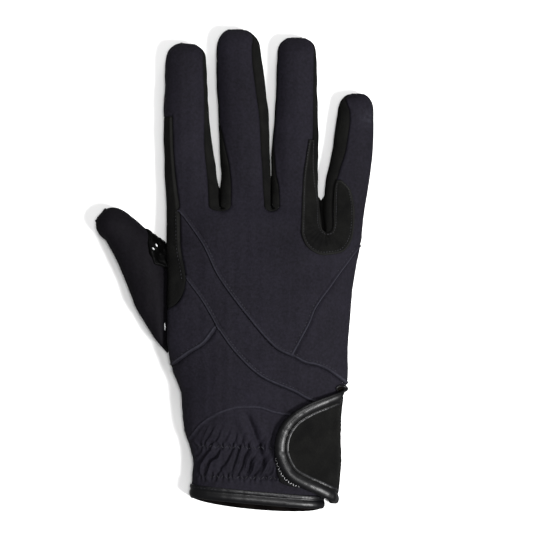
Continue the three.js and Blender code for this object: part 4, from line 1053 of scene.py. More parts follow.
# Wall of one finger: v runs from the tip to the web
def wingGrid(f, side, v):
    u = np.broadcast_to(np.linspace(0, 1, 15)[None], (len(v), 15))
    v = np.broadcast_to(v[:, None], u.shape)
    w = f["webs"][side]
    sign = 1 if side else -1

    def at(depth):
        half = fingerSection(f, capY(f))[1]
        inset = [1 - d / half for d in (backInset(f, side, capY(f)), glove["palmSeam"])]
        t = np.where(u < 0.5, np.sin(np.pi * u), np.sin(np.pi * (1 - u)))
        cap = np.where((u < 0.5)[..., None],
                       capPoint(f, v, sign * mix(inset[0], 1, t), depth, 1),
                       capPoint(f, v, sign * mix(inset[1], 1, t), depth, -1))
        y = mix(capY(f), w["y"], np.clip((v - tipShare) / (1 - tipShare), 0, 1))
        x = fingerEdge(f, side, y)
        backSeam = np.stack([x - sign * backInset(f, side, y), y], -1)
        palmSeam = np.stack([x - sign * glove["palmSeam"], y], -1)
        body = wall(f, u, backSeam, np.stack([x, y], -1), palmSeam, np.array([-sign, 0.0]), depth)
        return np.where((v < tipShare - 1e-6)[..., None], cap, body)
    return at(-wallRelief(u, at(0.0)))


# Wall round the web, from the left finger's to the right finger's
def turnGrid(w, rows):
    u = np.broadcast_to(np.linspace(0, 1, 15)[None], (rows + 1, 15))
    v = np.broadcast_to(np.linspace(0, 1, rows + 1)[:, None], u.shape)
    outward = np.stack([-np.cos(np.pi * v), -np.sin(np.pi * v)], -1)
    edge = np.array([w["x"], w["y"]]) + w["radius"] * outward

    def at(depth):
        seams = notch(w, v), edge, notch(w, v, glove["palmSeam"])
        sides = [wall(f, u, *seams, outward, depth) for f in (w["left"], w["right"])]
        return np.where((v < 0.5)[..., None], *sides)
    plain = at(0.0)
    # A crease from the back's seam down into the web, a little to one side of it
    slit = -w["crease"] * bell((v - 0.6) * 6, 0.7) * ease((0.5 - u) / 0.1) * ease((u - 0.06) / 0.1)
    return at(-wallRelief(u, plain) - slit)


for w, depth in zip(webs, (2.08, 2.4, 1.44)):
    w["crease"] = depth
for w, name, node in zip(webs, ("wallIndexMiddle", "wallMiddleRing", "wallRingLittle"),
                         ("fourchette_index_middle", "fourchette_middle_ring", "fourchette_ring_little")):
    rows = np.concatenate([np.linspace(0.02, tipShare, 14)[:-1], np.linspace(tipShare, 1, 60)])
    grids = [wingGrid(w["left"], 1, rows), turnGrid(w, 26), wingGrid(w["right"], 0, rows)[::-1]]
    finishPiece(panel(name, grids, suedeCloth, (1, 0, 0)), "suede", node)

# Folds of the side walls that close the lowest part of each gap, sagging in the middle
webFolds = {"length": (11.2, 16.5, 17.8), "high": 6.5, "low": 2.2, "sag": 1.3, "tuck": 0.5}


def buildWebFold(w, length, name):
    u, v = uv(30, 12)
    side = np.abs(2 * u - 1)
    y = w["y"] - w["radius"] + (length + w["radius"] - 2.5 * (1 - side)) * v
    ends = [fingerEdge(w[k], i, np.maximum(y, w["y"])) for k, i in (("left", 1), ("right", 0))]
    x = mix(ends[0] - webFolds["tuck"], ends[1] + webFolds["tuck"], u)
    z = mix(webFolds["high"], webFolds["low"], ease(v * 1.1)) - webFolds["sag"] * (1 - side)
    made = panel(name, [np.stack([x, y, z], -1)], suedeCloth, (0, 0, 1), 0.6)
    return finishPiece(made, "suede")


for w, length, name in zip(webs, webFolds["length"], ("foldIndexMiddle", "foldMiddleRing", "foldRingLittle")):
    buildWebFold(w, length, name)

# Palm with the fronts of the fingers, flat where it lies
palmLevels = [(-2, 0), (0, 0), (0, -12.5), (-12.5, -14.5)]


# The palm's end at the cuff, longer than the back's by half an ellipse
def palmEnd(t):
    p = hemLine(t)
    a = (p[..., 0] - mouth["middle"]) / mouth["half"]
    return p - np.stack([0 * a, glove["palmTail"] * arch(a, 2)], -1)


def buildPalm():
    grids, top = [], []
    v = np.concatenate([np.linspace(0, tipShare, 13)[:-1], np.linspace(tipShare, 1, 41)])
    u, v = np.meshgrid(np.linspace(0, 1, 13), v)
    for i, f in enumerate(fingers):
        share = lambda side, y, f=f: seamShare(f, side, y, glove["palmSeam"] if f["webs"][side] else 0)
        strip = alongFinger(f, share, palmLevels[i], -1)
        plain = strip(u, v)
        ends = np.minimum(*[np.linalg.norm(plain - plain[:, [k]], axis=-1) for k in (0, -1)])
        grids.append(strip(u, v, 0.3 * bell(ends, 0.7)))
        top.append(plain[-1, :, :2])
        if i < 3:
            top.append(notch(webs[i], np.linspace(0, 1, 9)[1:-1], glove["palmSeam"]))
    top = np.concatenate(top)
    # The edge runs evenly from the roots to the cuff, which leaves a slot open above the tab too
    held = 1 - math.acos(1 - 5.5 / float(mouth["half"])) / math.pi
    end = palmEnd(held * np.linspace(0, 1, len(top)))
    v = np.linspace(0, 1, 81)[:, None, None]
    plan = fromHand(mix(toHand(top)[None], toHand(end)[None], v))
    grids.insert(0, palmPoint(plan[..., 0], plan[..., 1], 0.0))
    start = 0
    for grid in grids[1:]:
        grid[-1] = grids[0][0, start : start + grid.shape[1]]
        start += grid.shape[1] + 7
    return finishPiece(panel("palmPanel", grids, palmSuede, (0, 0, -1)), "palm", "palm_panel")


palmPanel = buildPalm()

# Thumb. A row: share along it, then outer edge out and down, inner edge out and down, height
thumbRows = [
    (0, 0.862, -0.02, 0.575, -0.255, 1), (0.13, 0.785, 0.062, 0.447, -0.2, 1),
    (0.26, 0.71, 0.148, 0.305, -0.124, 1), (0.38, 0.642, 0.24, 0.145, -0.05, 1),
    (0.5, 0.56, 0.36, 0, 0.03, 1), (0.63, 0.45, 0.525, 0, 0.24, 0.95),
    (0.76, 0.295, 0.693, 0, 0.5, 0.8), (0.89, 0.11, 0.854, 0, 0.75, 0.5), (1, -0.03, 0.95, 0, 0.93, 0.1),
]
thumbColumns = [smoothColumn(thumbRows, k) for k in range(1, 6)]
thumbMid = 0.45 * thumb["thickness"]
thumbCap = 3 / 13


# Thumb between its outer and inner edges, rounded at the tip and open to the hand
def thumbPoint(u, v, depth=0.0, face=1):
    a = -np.cos(np.pi * u)
    capped = v < thumbCap - 1e-6
    turn = np.where(capped, np.pi / 2 * (1 - v / thumbCap), 0)
    t = np.clip((v - thumbCap) / (1 - thumbCap), 0, 1)
    outerOut, outerDown, innerOut, innerDown, height = (c(t) for c in thumbColumns)
    outer = [-outerOut * thumb["reach"], thumb["rootTop"] - outerDown * thumb["rootLength"]]
    inner = [-innerOut * thumb["reach"], thumb["rootTop"] - innerDown * thumb["rootLength"]]
    rooted = ease((t - 0.44) / 0.08)
    hole = arch(holeShare(inner[1]), 2)
    held = thumb["tuck"] * hole - 0.6 * (1 - hole) if face > 0 else -0.3 + 0 * hole
    h = handSection(inner[1])
    inner[0] = mix(inner[0], h["left"] + held, rooted)
    across = [inner[0] - outer[0], inner[1] - outer[1]]
    length = np.hypot(*across)
    e = [across[0] / length, across[1] / length]
    sine, high = np.sin(turn), np.cos(turn)
    narrow = np.maximum(thumb["flat"], (1 - sine**2.4) ** (1 / 2.4))
    isOpen = np.where(a > 0, rooted, 0)
    flat = flatArch(a)
    if face > 0:
        rise = (thumb["thickness"] - thumbMid) * height
        closed = thumbMid + (rise - depth) * high * arch(a, 2.1)
        z = mix(closed, mix(thumbMid + rise, h["leftSide"] - 0.9, ease(a)) - depth, isOpen)
        inward = a * (1 - isOpen)
    else:
        closed = thumbMid - (thumbMid - depth) * high * flat
        z = mix(closed, depth + 0 * closed, isOpen)
        inward = a * (1 - flat) * (1 - isOpen)
    s = length / 2 * (1 + a * narrow) - depth * inward * np.where(capped, narrow, 1)
    forward = (thumb["tip"] - depth) * sine
    return np.stack([outer[0] + e[0] * s - e[1] * forward, outer[1] + e[1] * s + e[0] * forward, z], -1)


def buildThumb(face, name, material, slot, node):
    # The palm side stops a little before its two edges meet, so that no corner is pinched
    last = 1 if face > 0 else 0.985
    rows = np.concatenate([np.linspace(0, thumbCap, 19)[:-1], np.linspace(thumbCap, last, 81)])
    u, v = np.meshgrid(np.linspace(0, 1, 37), rows)
    plain = thumbPoint(u, v, 0.0, face)
    x, y = plain[..., 0], plain[..., 1]
    edge = np.linalg.norm(plain - plain[:, :1], axis=-1)
    toHandEdge = np.linalg.norm(plain - plain[:, -1:], axis=-1)
    soft = 0.25 * slack(x, y) + 0.08 * crease(x, y) if face > 0 else 0
    relief = -0.3 * bell(edge, 0.6) + soft * ease(edge / 3)
    relief = relief - 2.6 * ease((7.5 - toHandEdge) / 5.5) * ease((v - 0.56) / 0.1) * (face > 0)
    if face < 0:
        relief = np.minimum(relief, 0)
    return finishPiece(panel(name, [thumbPoint(u, v, -relief, face)], material, (0, 0, face)), slot, node)


thumbBack = buildThumb(1, "thumbBack", thumbShadedCloth, "stretch", "thumb_back")
thumbPalm = buildThumb(-1, "thumbPalm", palmSuede, "palm", "thumb_palm")

# Palm leather that comes round the thumb's web. A row: share along the thumb, and where
# the leather's edge stands across it
thumbWeb = {"lift": 0.7, "crinkle": 0.16}
webRows = [(0.26, 0.97), (0.32, 0.8), (0.38, 0.67), (0.46, 0.6), (0.52, 0.6), (0.58, 0.72), (0.64, 0.95)]
webEdge = smoothColumn(webRows, 1)


# From the leather's edge (u = 0) to the thumb's inner edge (u = 1), with its edge turned
# under and the middle crinkled by slanting waves
def buildThumbWeb():
    u, t = np.meshgrid(np.linspace(0, 1, 41), np.linspace(webRows[0][0], webRows[-1][0], 91))
    across, along = mix(webEdge(t), 0.995, u), thumbCap + t * (1 - thumbCap)
    plain = thumbPoint(across, along)
    x, y = plain[..., 0], plain[..., 1]
    border = distanceTo(plain, np.concatenate([plain[:, 0], plain[0], plain[-1]]))
    waves = np.sin(1.7 * x + 1.1 * y + 1.4 * crease(x * 1.4, y * 1.4))
    relief = thumbWeb["lift"] * ease(border / 1.1) - 0.1
    relief = relief + thumbWeb["crinkle"] * waves * ease((border - 0.6) / 1.5)
    made = panel("thumbWebLeather", [thumbPoint(across, along, -relief)], webLeather, (0, 0, 1), 0.5)
    return finishPiece(made, "palm")


thumbWebLeather = buildThumbWeb()

# Suede patch that the rein runs over, round the web between ring and little finger
rein = {"lift": 0.45, "wall": 0.8, "stitchInset": 1.5}
reinRows = [
    (0, -0.23, 1.955, -0.34, 1.955), (0.12, -0.243, 1.515, -0.4, 1.565), (0.24, -0.22, 1.135, -0.455, 1.115),
    (0.36, -0.14, 0.615, -0.48, 0.515), (0.47, -0.12, 0.235, -0.5, -0.005),
    (0.54, -0.06, 0.035, -0.4, -0.305),
    (0.61, 0.06, -0.025, -0.05, -0.505), (0.68, 0.15, 0.015, 0.34, -0.445), (0.76, 0.2, 0.215, 0.58, -0.085),
    (0.86, 0.21, 0.565, 0.63, 0.415), (0.94, 0.23, 0.915, 0.56, 0.865), (1, 0.28, 1.095, 0.38, 1.095),
]
reinColumns = [smoothColumn(reinRows, k) for k in range(1, 5)]


def reinPlan(u, v):
    inX, inY, outX, outY = (c(v) * ringFinger["width"] for c in reinColumns)
    return np.stack([webs[2]["x"] + mix(inX, outX, u), webs[2]["y"] + mix(inY, outY, u)], -1)


def reinSurface(plan, depth):
    x, y = plan[..., 0], plan[..., 1]
    left = (x < webs[2]["x"])[..., None]
    return np.where(left, backPoint(x, y, depth, ringFinger), backPoint(x, y, depth, littleFinger))


def buildRein():
    u, v = uv(150, 26)
    plan = reinPlan(u, v)
    plain = reinSurface(plan, 0.0)
    border = np.concatenate([plain[:, 0], plain[:, -1], plain[0], plain[-1]])
    d = distanceTo(plain, border)
    turn = np.arctan2(plan[..., 1] - webs[2]["y"] - 3, plan[..., 0] - webs[2]["x"])
    creases = 0.3 * np.sin(21 * turn + 2.5 * slack(plan[..., 0], plan[..., 1])) * bell(v - 0.6, 0.2)
    relief = rein["lift"] + rein["wall"] * (0.35 + 0.65 * ease(d))
    relief = relief - 0.22 * bell(d - rein["stitchInset"], 0.4)
    relief = relief + creases * ease((d - 1) / 2)
    worn = 0.8 * bell(d - 0.6, 0.3)
    made = panel("reinPatch", [reinSurface(plan, -relief)], suedeCloth, (0, 0, 1), rein["wall"], [worn])
    return finishPiece(made, "suede", "rein_patch")


reinPatch = buildRein()
print("panels ready")


# Bindings: a profile carried along a path
# Rings of the profile's (side, up) points, set in each centre's two directions
def sweep(centres, sideways, upwards, profile):
    side, up = profile[None, :, :1], profile[None, :, 1:]
    return centres[:, None] + side * sideways[:, None] + up * upwards[:, None]


# Points at even distances along a polyline
def evenly(points, count, closed=False):
    line = np.concatenate([points, points[:1]]) if closed else points
    lengths = np.concatenate([[0], np.cumsum(np.linalg.norm(np.diff(line, axis=0), axis=1))])
    at = np.linspace(0, lengths[-1], count, endpoint=not closed)
    return np.stack([np.interp(at, lengths, line[:, k]) for k in range(3)], -1)


def unit(v):
    return v / np.maximum(1e-9, np.linalg.norm(v, axis=-1, keepdims=True))


# Skin over rings of points; an open tube gets a flat face at each end
def tubePiece(name, rings, material, closed, slot, *nodes):
    count, sides = rings.shape[:2]
    at = np.arange(count * sides).reshape(count, sides)
    nextRing = np.roll(at, -1, 0) if closed else at[1:]
    here = at if closed else at[:-1]
    faces = np.stack([here, np.roll(here, -1, 1), np.roll(nextRing, -1, 1), nextRing], -1).reshape(-1, 4)
    faces = faces.tolist()
    if not closed:
        faces += [at[0][::-1].tolist(), at[-1].tolist()]
    made = newObject(name, placed(rings.reshape(-1, 3)), faces, material)
    work = bmesh.new()
    work.from_mesh(made.data)
    bmesh.ops.recalc_face_normals(work, faces=work.faces)
    work.to_mesh(made.data)
    work.free()
    return finishPiece(made, slot, *nodes)


hem = {
    "width": 5.0, "thickness": 2.8, "steps": 260, "gap": 0.3, "flange": 1.4, "flangeThickness": 2.2,
    "groove": -1.7,
}


# Loop just beyond the cloth's end: over the back, then back along the palm
def hemLoop(count=900):
    turn = np.linspace(0, 2 * np.pi, count, endpoint=False)
    a = np.cos(turn)
    x = mouth["middle"] + mouth["half"] * a
    top = np.sin(turn) > 0
    y = hemY(x) - np.where(top, 0, glove["palmTail"] * arch(a, 2))
    zBack = backPoint(x, y, 0.6, littleFinger)[..., 2]
    zPalm = palmPoint(x, y, 0.6, littleFinger)[..., 2]
    drawn = np.where(top, 0, np.abs(a) ** 8) + np.abs(a) ** 12
    return np.stack([x - np.sign(a) * 0.6 * np.minimum(1, drawn), y, np.where(top, zBack, zPalm)], -1)


# Across a binding: an even stitched flange, a groove, then a round welt whose height
# follows half a circle. Above the cloth for the first half turn, below it for the other
def bindingHeight(side, turn, groove, thickness, flangeThickness):
    first, last = side.min(), side.max()
    middle = (last + groove) / 2
    welt = thickness / 2 * arch((side - middle) / (last - middle), 2)
    flat = flangeThickness / 2 * arch((side - middle) / (first - middle), 8)
    high = np.where(side > middle, welt, np.maximum(welt * (side > groove), flat))
    return np.sign(np.sin(turn)) * np.maximum(high - 0.45 * bell(side - groove, 0.3), 0)


# Even places round the loop, with the loop's direction and the one out of the cuff
def hemFrame(count):
    centres = evenly(hemLoop(), count, closed=True)
    along = unit(np.roll(centres, -1, 0) - np.roll(centres, 1, 0))
    flat = unit(along * (1, 0, 1))
    return centres, along, np.stack([flat[:, 2], 0 * flat[:, 0], -flat[:, 0]], -1)


def buildHem():
    centres, along, outward = hemFrame(hem["steps"])
    down = np.tile([0.0, -1.0, 0.0], (len(centres), 1))
    turn = np.linspace(0, 2 * np.pi, 44, endpoint=False)
    side = mix(-hem["width"] / 2 - hem["flange"], hem["width"] / 2, 0.5 + 0.5 * np.cos(turn))
    high = bindingHeight(side, turn, hem["groove"], hem["thickness"], hem["flangeThickness"])
    profile = np.stack([side + hem["gap"] + hem["width"] / 2, high], -1)
    rings = sweep(centres, down, outward, profile)
    s = np.arange(len(centres))[:, None]
    rings = rings + outward[:, None] * 0.04 * np.sin(s * 0.55 + np.sin(s * 0.37))[..., None]
    rings[..., 2] = np.maximum(0, rings[..., 2])
    return tubePiece("hemBinding", rings, bindingLeather, True, "binding", "hem_binding")


hemBinding = buildHem()

mouthShadeSheet = {"depth": 16.0, "past": 5.1, "lift": 0.35, "welt": 1.35, "narrowing": 0.975}


# Dark tape sheet inside the palm's end of the cuff, up to the outer edge of its binding: painted shade over
# the palm side's binding in the cuff's mouth
def buildMouthShade():
    u, v = uv(30, 120)
    t = mix(0.012, 0.988, u)
    p = palmEnd(t)
    y = p[..., 1] - mouthShadeSheet["past"] + mouthShadeSheet["depth"] * v
    h = handSection(np.maximum(y, p[..., 1]))
    x = h["middle"] + h["half"] * (p[..., 0] - mouth["middle"]) / mouth["half"] * mouthShadeSheet["narrowing"]
    inside = palmPoint(x, np.maximum(y, p[..., 1]), glove["cloth"], littleFinger)[..., 2]
    over = ease((p[..., 1] - y + 1.2) / 2.2)
    z = inside + mouthShadeSheet["lift"] + mouthShadeSheet["welt"] * over - 1.7 * ease((p[..., 1] - 4.0 - y) / 1.5)
    z = z + 0.12 * np.sin(x * 1.9 + 1.2 * slack(x, y)) * ease((y - p[..., 1]) / 3)
    made = panel("cuffMouthShade", [np.stack([x, y, z], -1)], shadeTape, (0, 0, 1), 0.25)
    return finishPiece(made, "suede")


cuffMouthShade = buildMouthShade()


# Closure tab, laid out on the cuff unrolled from the little-finger outline
def tabTurned(turn, y, off):
    h = handSection(y)
    a = np.cos(turn)
    x = h["middle"] + h["half"] * a
    corner = 1.7 * bell(y - tabTop + 3, 6)
    off = off - (tab["pressed"] + corner) * ease((a - 0.88) / 0.12)
    rounded = arch(a, flatPower)
    low = glove["sideHeight"] * (1 - rounded) + (tab["lift"] + tab["wall"] - off) * rounded
    under = np.stack([x + off * a, y + 0 * x, low], -1)
    point = np.where((turn < 0)[..., None], under, backPoint(x, y + 0 * x, -off, littleFinger))
    swing = tab["flare"] * ease((tabTop - 10 - y) / (tab["length"] - 10))
    point[..., 0] += swing * (0.5 + 0.5 * a)
    point[..., 2] = np.maximum(0, point[..., 2])
    return point


tabTurns = np.linspace(-0.8, 2, 81)
tabMid = tab["lift"] + tab["wall"] / 2


# Point at distance s over the back from the outline, off above the cuff
def tabPoint(s, y, off):
    s, y, off = (np.asarray(v, float) for v in np.broadcast_arrays(s, y, off))
    flatS, flatY = s.ravel(), y.ravel()
    line = tabTurned(np.broadcast_to(tabTurns, (len(flatY), 81)), flatY[:, None], tabMid)
    lengths = np.linalg.norm(np.diff(line, axis=1), axis=-1)
    total = np.concatenate([np.zeros((len(flatY), 1)), np.cumsum(lengths, 1)], 1)
    start = total[:, int((tabTurns < 0).sum())]
    rest = flatS + start
    i = np.clip((total < rest[:, None]).sum(1) - 1, 0, 79)
    row = np.arange(len(flatY))
    t = (rest - total[row, i]) / lengths[row, i]
    turn = mix(tabTurns[i], tabTurns[i + 1], t)
    return tabTurned(turn, flatY, off.ravel()).reshape(*s.shape, 3)


tabRows = [
    (-0.18, 0.06), (0.06, 0.08), (0.355, 0.135), (0.667, 0.211), (0.885, 0.302), (1.02, 0.423), (1.07, 0.574),
    (1.03, 0.694), (0.91, 0.815), (0.71, 0.89), (0.485, 0.951), (0.27, 1.01), (0.03, 1.05), (-0.18, 1.06),
]
tabCurve = splineThrough([(r * tab["reach"], tabTop - along * tab["length"]) for r, along in tabRows])
tabLine = evenly(np.pad(tabCurve(np.linspace(0, 1, 1200)), ((0, 0), (0, 1))), 400)[:, :2]


# A point beside the tab's edge line, inward towards the tab's middle
def tabBeside(t, inward):
    at = np.clip(np.asarray(t, float), 0, 1) * 399

    def along(step):
        place = np.clip(step, 0, 399)
        return np.stack([np.interp(place, np.arange(400), tabLine[:, k]) for k in (0, 1)], -1)

    p, d = along(at), unit(along(at + 1.5) - along(at - 1.5))
    return p + np.stack([d[..., 1], -d[..., 0]], -1) * np.asarray(inward)[..., None]


def buildTabBinding():
    t = np.linspace(0, 1, 220)[:, None]
    turn = np.linspace(0, 2 * np.pi, 36, endpoint=False)[None]
    inner = tab["edgeWidth"] / 2 + tab["flange"]
    side = mix(-tab["edgeWidth"] / 2, inner, 0.5 + 0.5 * np.cos(turn))
    high = bindingHeight(-side, turn, -tab["groove"], tab["edgeThickness"], tab["flangeThickness"])
    tt, ss = np.broadcast_arrays(t, side)
    ripple = 0.035 * np.sin(tt * 130 + np.sin(tt * 60))
    plan = tabBeside(tt, ss)
    slim = 1 - 0.6 * ease((2.5 - plan[..., 0]) / 2.5) * (tt < 0.2)
    rings = tabPoint(plan[..., 0], plan[..., 1], tabMid + high * slim + ripple)
    return tubePiece("tabBinding", rings, bindingLeather, False, "binding", "tab_binding")


tabBinding = buildTabBinding()


# The binding's upper end, curled over on itself as an open ring, and a dark disc in it as painted shade in
# the ring's hole
def curlPoint(away, turn, off):
    x, y = 84.0 + 1.25 * away * np.cos(turn), tabTop - 2.6 + 0.85 * away * np.sin(turn)
    rest = backPoint(np.minimum(x, 85.4), y, 0.0, littleFinger)[..., 2]
    return np.stack([x, y, rest + off], -1)


def buildTabCurl():
    turn = np.linspace(-1.3, 4.3, 48)[:, None]
    around = np.linspace(0, 2 * np.pi, 14, endpoint=False)[None]
    tube = tab["curlTube"] * (0.62 + 0.38 * np.cos(turn))
    rings = curlPoint(tab["curl"] + tube * np.cos(around), turn, 1.2 + tube * np.sin(around))
    return tubePiece("tabCurl", rings, bindingLeather, False, "binding")


def buildCurlInside():
    u, v = uv(10, 32)
    inside = curlPoint(tab["curl"] * v, 2 * np.pi * u, 0.6 + 0 * u)
    return finishPiece(panel("tabCurlHoleShade", [inside], shadeTape, (0, 0, 1), 0.3), "suede")


tabCurl, tabCurlHoleShade = buildTabCurl(), buildCurlInside()


def buildTab():
    u, v = uv(90, 44)
    edge = tabBeside(mix(0.03, 0.97, v), tab["edgeWidth"] / 2 - 0.2 + 0 * v)
    ends = tabBeside(np.array([0.03, 0.97]), np.array([2.2, 2.2]))[:, 1]
    s = mix(tab["foot"], edge[..., 0], u)
    y = mix(mix(ends[0], ends[1], v), edge[..., 1], ease(u))
    plain = tabPoint(s, y, tab["lift"] + tab["wall"])
    near = distanceTo(plain, plain[:, -1])
    ridge = 0.1 * slack(s * 1.6, y * 1.3) * ease((near - 2) / 3)
    sideSeam = 0.3 * bell(s - 1.6, 0.5) - 0.25 * bell(s - 0.8, 0.4)
    grid = tabPoint(s, y, tab["lift"] + tab["wall"] + ridge + sideSeam)
    made = panel("closureTab", [grid], suedeCloth, (0, 0, 1), tab["wall"])
    return finishPiece(made, "suede", "closure_tab")


closureTab = buildTab()

loop = {"width": 25.2, "length": 32.6, "side": 23.3, "rise": 0.63}


def loopGrid(u, v, depth):
    a, b = 2 * u - 1, 2 * v - 1
    x = mouthRight - loop["side"] + loop["width"] / 2 * (1 + a * mix(1, np.sqrt(1 - b * b / 2), 0.6))
    y = tabTop - loop["rise"] * tab["length"] + loop["length"] / 2 * b * mix(1, np.sqrt(1 - a * a / 2), 0.6)
    return backPoint(x, y, depth, littleFinger)


def buildLoop():
    u, v = uv(50, 40)
    a, b = 2 * u - 1, 2 * v - 1
    edge = ease((1 - np.maximum(abs(a), abs(b))) / 0.12)
    grid = loopGrid(u, v, -0.9 - 0.3 * edge)
    return finishPiece(panel("loopPatch", [grid], loopPile, (0, 0, 1), 0.8), "loop", "loop_patch")


loopPatch = buildLoop()
print("closure ready")


# Stitches: short threads laid along a line, all in one mesh
# A thread half buried in the cloth: an ellipsoid drawn out along x
def threadShape(sides=6, rings=5):
    along = np.cos(np.linspace(0, np.pi, rings + 2)[1:-1])
    turn = np.linspace(0, 2 * np.pi, sides, endpoint=False)
    radius = np.sqrt(1 - along**2) ** 0.6
    across, up = radius[:, None] * np.cos(turn), radius[:, None] * np.sin(turn)
    body = np.stack([np.repeat(along, sides), across.ravel(), up.ravel()], -1)
    vertices = np.concatenate([body, [[1.0, 0, 0], [-1.0, 0, 0]]])
    at = np.arange(rings * sides).reshape(rings, sides)
    quads = np.stack([at[:-1], at[1:], np.roll(at[1:], -1, 1), np.roll(at[:-1], -1, 1)], -1).reshape(-1, 4)
    ends = [(len(body), a, b) for a, b in zip(at[0], np.roll(at[0], -1))]
    ends += [(len(body) + 1, b, a) for a, b in zip(at[-1], np.roll(at[-1], -1))]
    return vertices, quads.tolist(), ends


threadVertices, threadQuads, threadEnds = threadShape()


# Threads at centres, along directions, on normals; runs is a list of such triples
def stitches(name, runs, slot, length, radius, material=None):
    centre, along, up = (np.concatenate([run[k] for run in runs]) for k in range(3))
    along, up = unit(along), unit(up)
    side = unit(np.cross(up, along))
    up = np.cross(along, side)
    v = threadVertices
    points = (
        centre[:, None] + along[:, None] * v[None, :, :1] * length / 2
        + side[:, None] * v[None, :, 1:2] * radius + up[:, None] * v[None, :, 2:] * radius
    )
    count = len(v)
    faces = []
    for k in range(len(centre)):
        base = k * count
        faces += [[base + i for i in face] for face in threadQuads + threadEnds]
    made = newObject(name, placed(points.reshape(-1, 3)), faces, material or thread)
    return finishPiece(made, slot)


# Stitch places along a plan line on the back: centres, directions and normals
def runOnBack(plan, pitch, lift, surface=None, start=0.0, end=1.0, zigzag=0.0):
    surface = surface or (lambda p, d: backPoint(p[..., 0], p[..., 1], d))
    p = plan(np.linspace(start, end, 500))
    line = surface(p, 0.0)
    total = np.linalg.norm(np.diff(line, axis=0), axis=1).sum()
    count = max(2, int(total / pitch))
    step = evenly(line, count * 2 + 1)
    centre, along = step[1::2], step[2::2] - step[:-2:2]
    h = 0.3
    dx = surface(centre[:, :2] + (h, 0), 0.0)[:, 2] - surface(centre[:, :2] - (h, 0), 0.0)[:, 2]
    dy = surface(centre[:, :2] + (0, h), 0.0)[:, 2] - surface(centre[:, :2] - (0, h), 0.0)[:, 2]
    up = unit(np.stack([-dx / (2 * h), -dy / (2 * h), np.ones(len(centre))], -1))
    if zigzag:
        across = unit(np.cross(up, along))
        way = np.where(np.arange(len(centre)) % 2, 1.0, -1.0)[:, None]
        along = unit(along) + across * way * zigzag
    return centre + up * lift, along, up


# A plan curve moved sideways, to the left of its direction where positive
def beside(curve, distance):
    def at(t):
        t = np.asarray(t, float)
        d = curve(np.clip(t + 0.004, 0, 1)) - curve(np.clip(t - 0.004, 0, 1))
        d = unit(d)
        return curve(t) + np.stack([-d[..., 1], d[..., 0]], -1) * distance
    return at


topstitch = {"pitch": 1.7, "inset": 2.0, "lift": -0.1}
seamRuns = []
for name in ("upper", "upperEnd", "lower", "lowerEnd", "thumbLine", "littleLine"):
    row = beside(seam[name], topstitch["inset"])
    seamRuns.append(runOnBack(row, topstitch["pitch"], topstitch["lift"], start=0.03, end=0.97))
seamStitches = stitches("seamStitches", seamRuns, "stretch", length=0.9, radius=0.14)

reinRuns = []
for across in (0.13, 0.87):
    row = lambda t: reinPlan(np.full_like(t, across), mix(0.02, 0.98, t))
    reinRuns.append(runOnBack(row, 1.35, rein["lift"] + rein["wall"] - 0.16, surface=reinSurface))
reinStitches = stitches("reinStitches", reinRuns, "suede", length=0.8, radius=0.16)

stripCurve = sideLine(panelLevel, ends["panelLine"][1][1])
stripRuns = [runOnBack(beside(stripCurve, -1.6), 1.7, 0.38)]
stripStitches = stitches("stripStitches", stripRuns, "suede", length=0.9, radius=0.14)


# Row of zigzag stitches over the elastic
def shirring(row):
    def plan(t):
        h = handSection(row)
        x = mix(h["left"] + 4, wrist["gatherRight"] + 1, t)
        return np.stack([x, row - wrist["shirringSlant"] * x], -1)
    return plan


shirrRuns = [runOnBack(shirring(row), 1.9, 0.1, zigzag=1.0) for row in wrist["shirring"]]
shirrStitches = stitches("shirringStitches", shirrRuns, "stretch", length=1.9, radius=0.15)


# Row of zigzag stitches round the tape's nose, at a share of its half size
def loopBorder(share):
    def plan(t):
        turn = 0.95 * np.pi * (t - 0.5)
        x = mouthRight - loop["side"] + loop["width"] / 2 * (1 - share * np.cos(turn))
        y = tabTop - loop["rise"] * tab["length"] + loop["length"] / 2 * share * np.sin(turn)
        return np.stack([x, y], -1)
    return plan


onLittle = lambda p, d: backPoint(p[..., 0], p[..., 1], d, littleFinger)
loopRuns = [runOnBack(loopBorder(share), 1.3, 1.25, surface=onLittle, zigzag=1.2) for share in (0.96, 0.86)]
loopStitches = stitches("loopStitches", loopRuns, "loop", length=1.2, radius=0.2, material=paleThread)

# Bright dots of the palm's silver print where the palm comes round an edge, set where it catches the light:
# painted glints on the print. A row: centre, then direction across and up, half length
glintDots = [
    ((-4.6, -19.1, 13.5), (0.5, -0.8, 0), 0.8), ((-6.1, -20.7, 14.2), (0.6, -0.6, 0), 0.7),
    ((-0.7, -58.2, 10.6), (0.05, -1.0, 0), 1.9), ((2.5, -79.2, 8.6), (0.2, -1.0, 0), 0.7),
]
glintRuns = [(np.array([c]), np.array([d]), np.array([[0.0, 0.0, 1.0]])) for c, d, _ in glintDots]
for k, (run, dot) in enumerate(zip(glintRuns, glintDots)):
    stitches(f"glintDot{k}", [run], "palm", length=2 * dot[2], radius=0.38, material=glintSilver)

bindingStitch = {"pitch": 1.7, "length": 1.0, "radius": 0.15}


# Round the hem's flange, in the middle of its width
def hemStitchRun():
    total = np.linalg.norm(np.diff(hemLoop(), axis=0), axis=1).sum()
    centres, along, outward = hemFrame(int(total / bindingStitch["pitch"]))
    back = (hem["flange"] + hem["width"] / 2 + hem["groove"]) / 2
    down = hem["gap"] - hem["flange"] + back - 0.1
    return centres + outward * (hem["flangeThickness"] / 2 - 0.03) + (0, -down, 0), along, outward


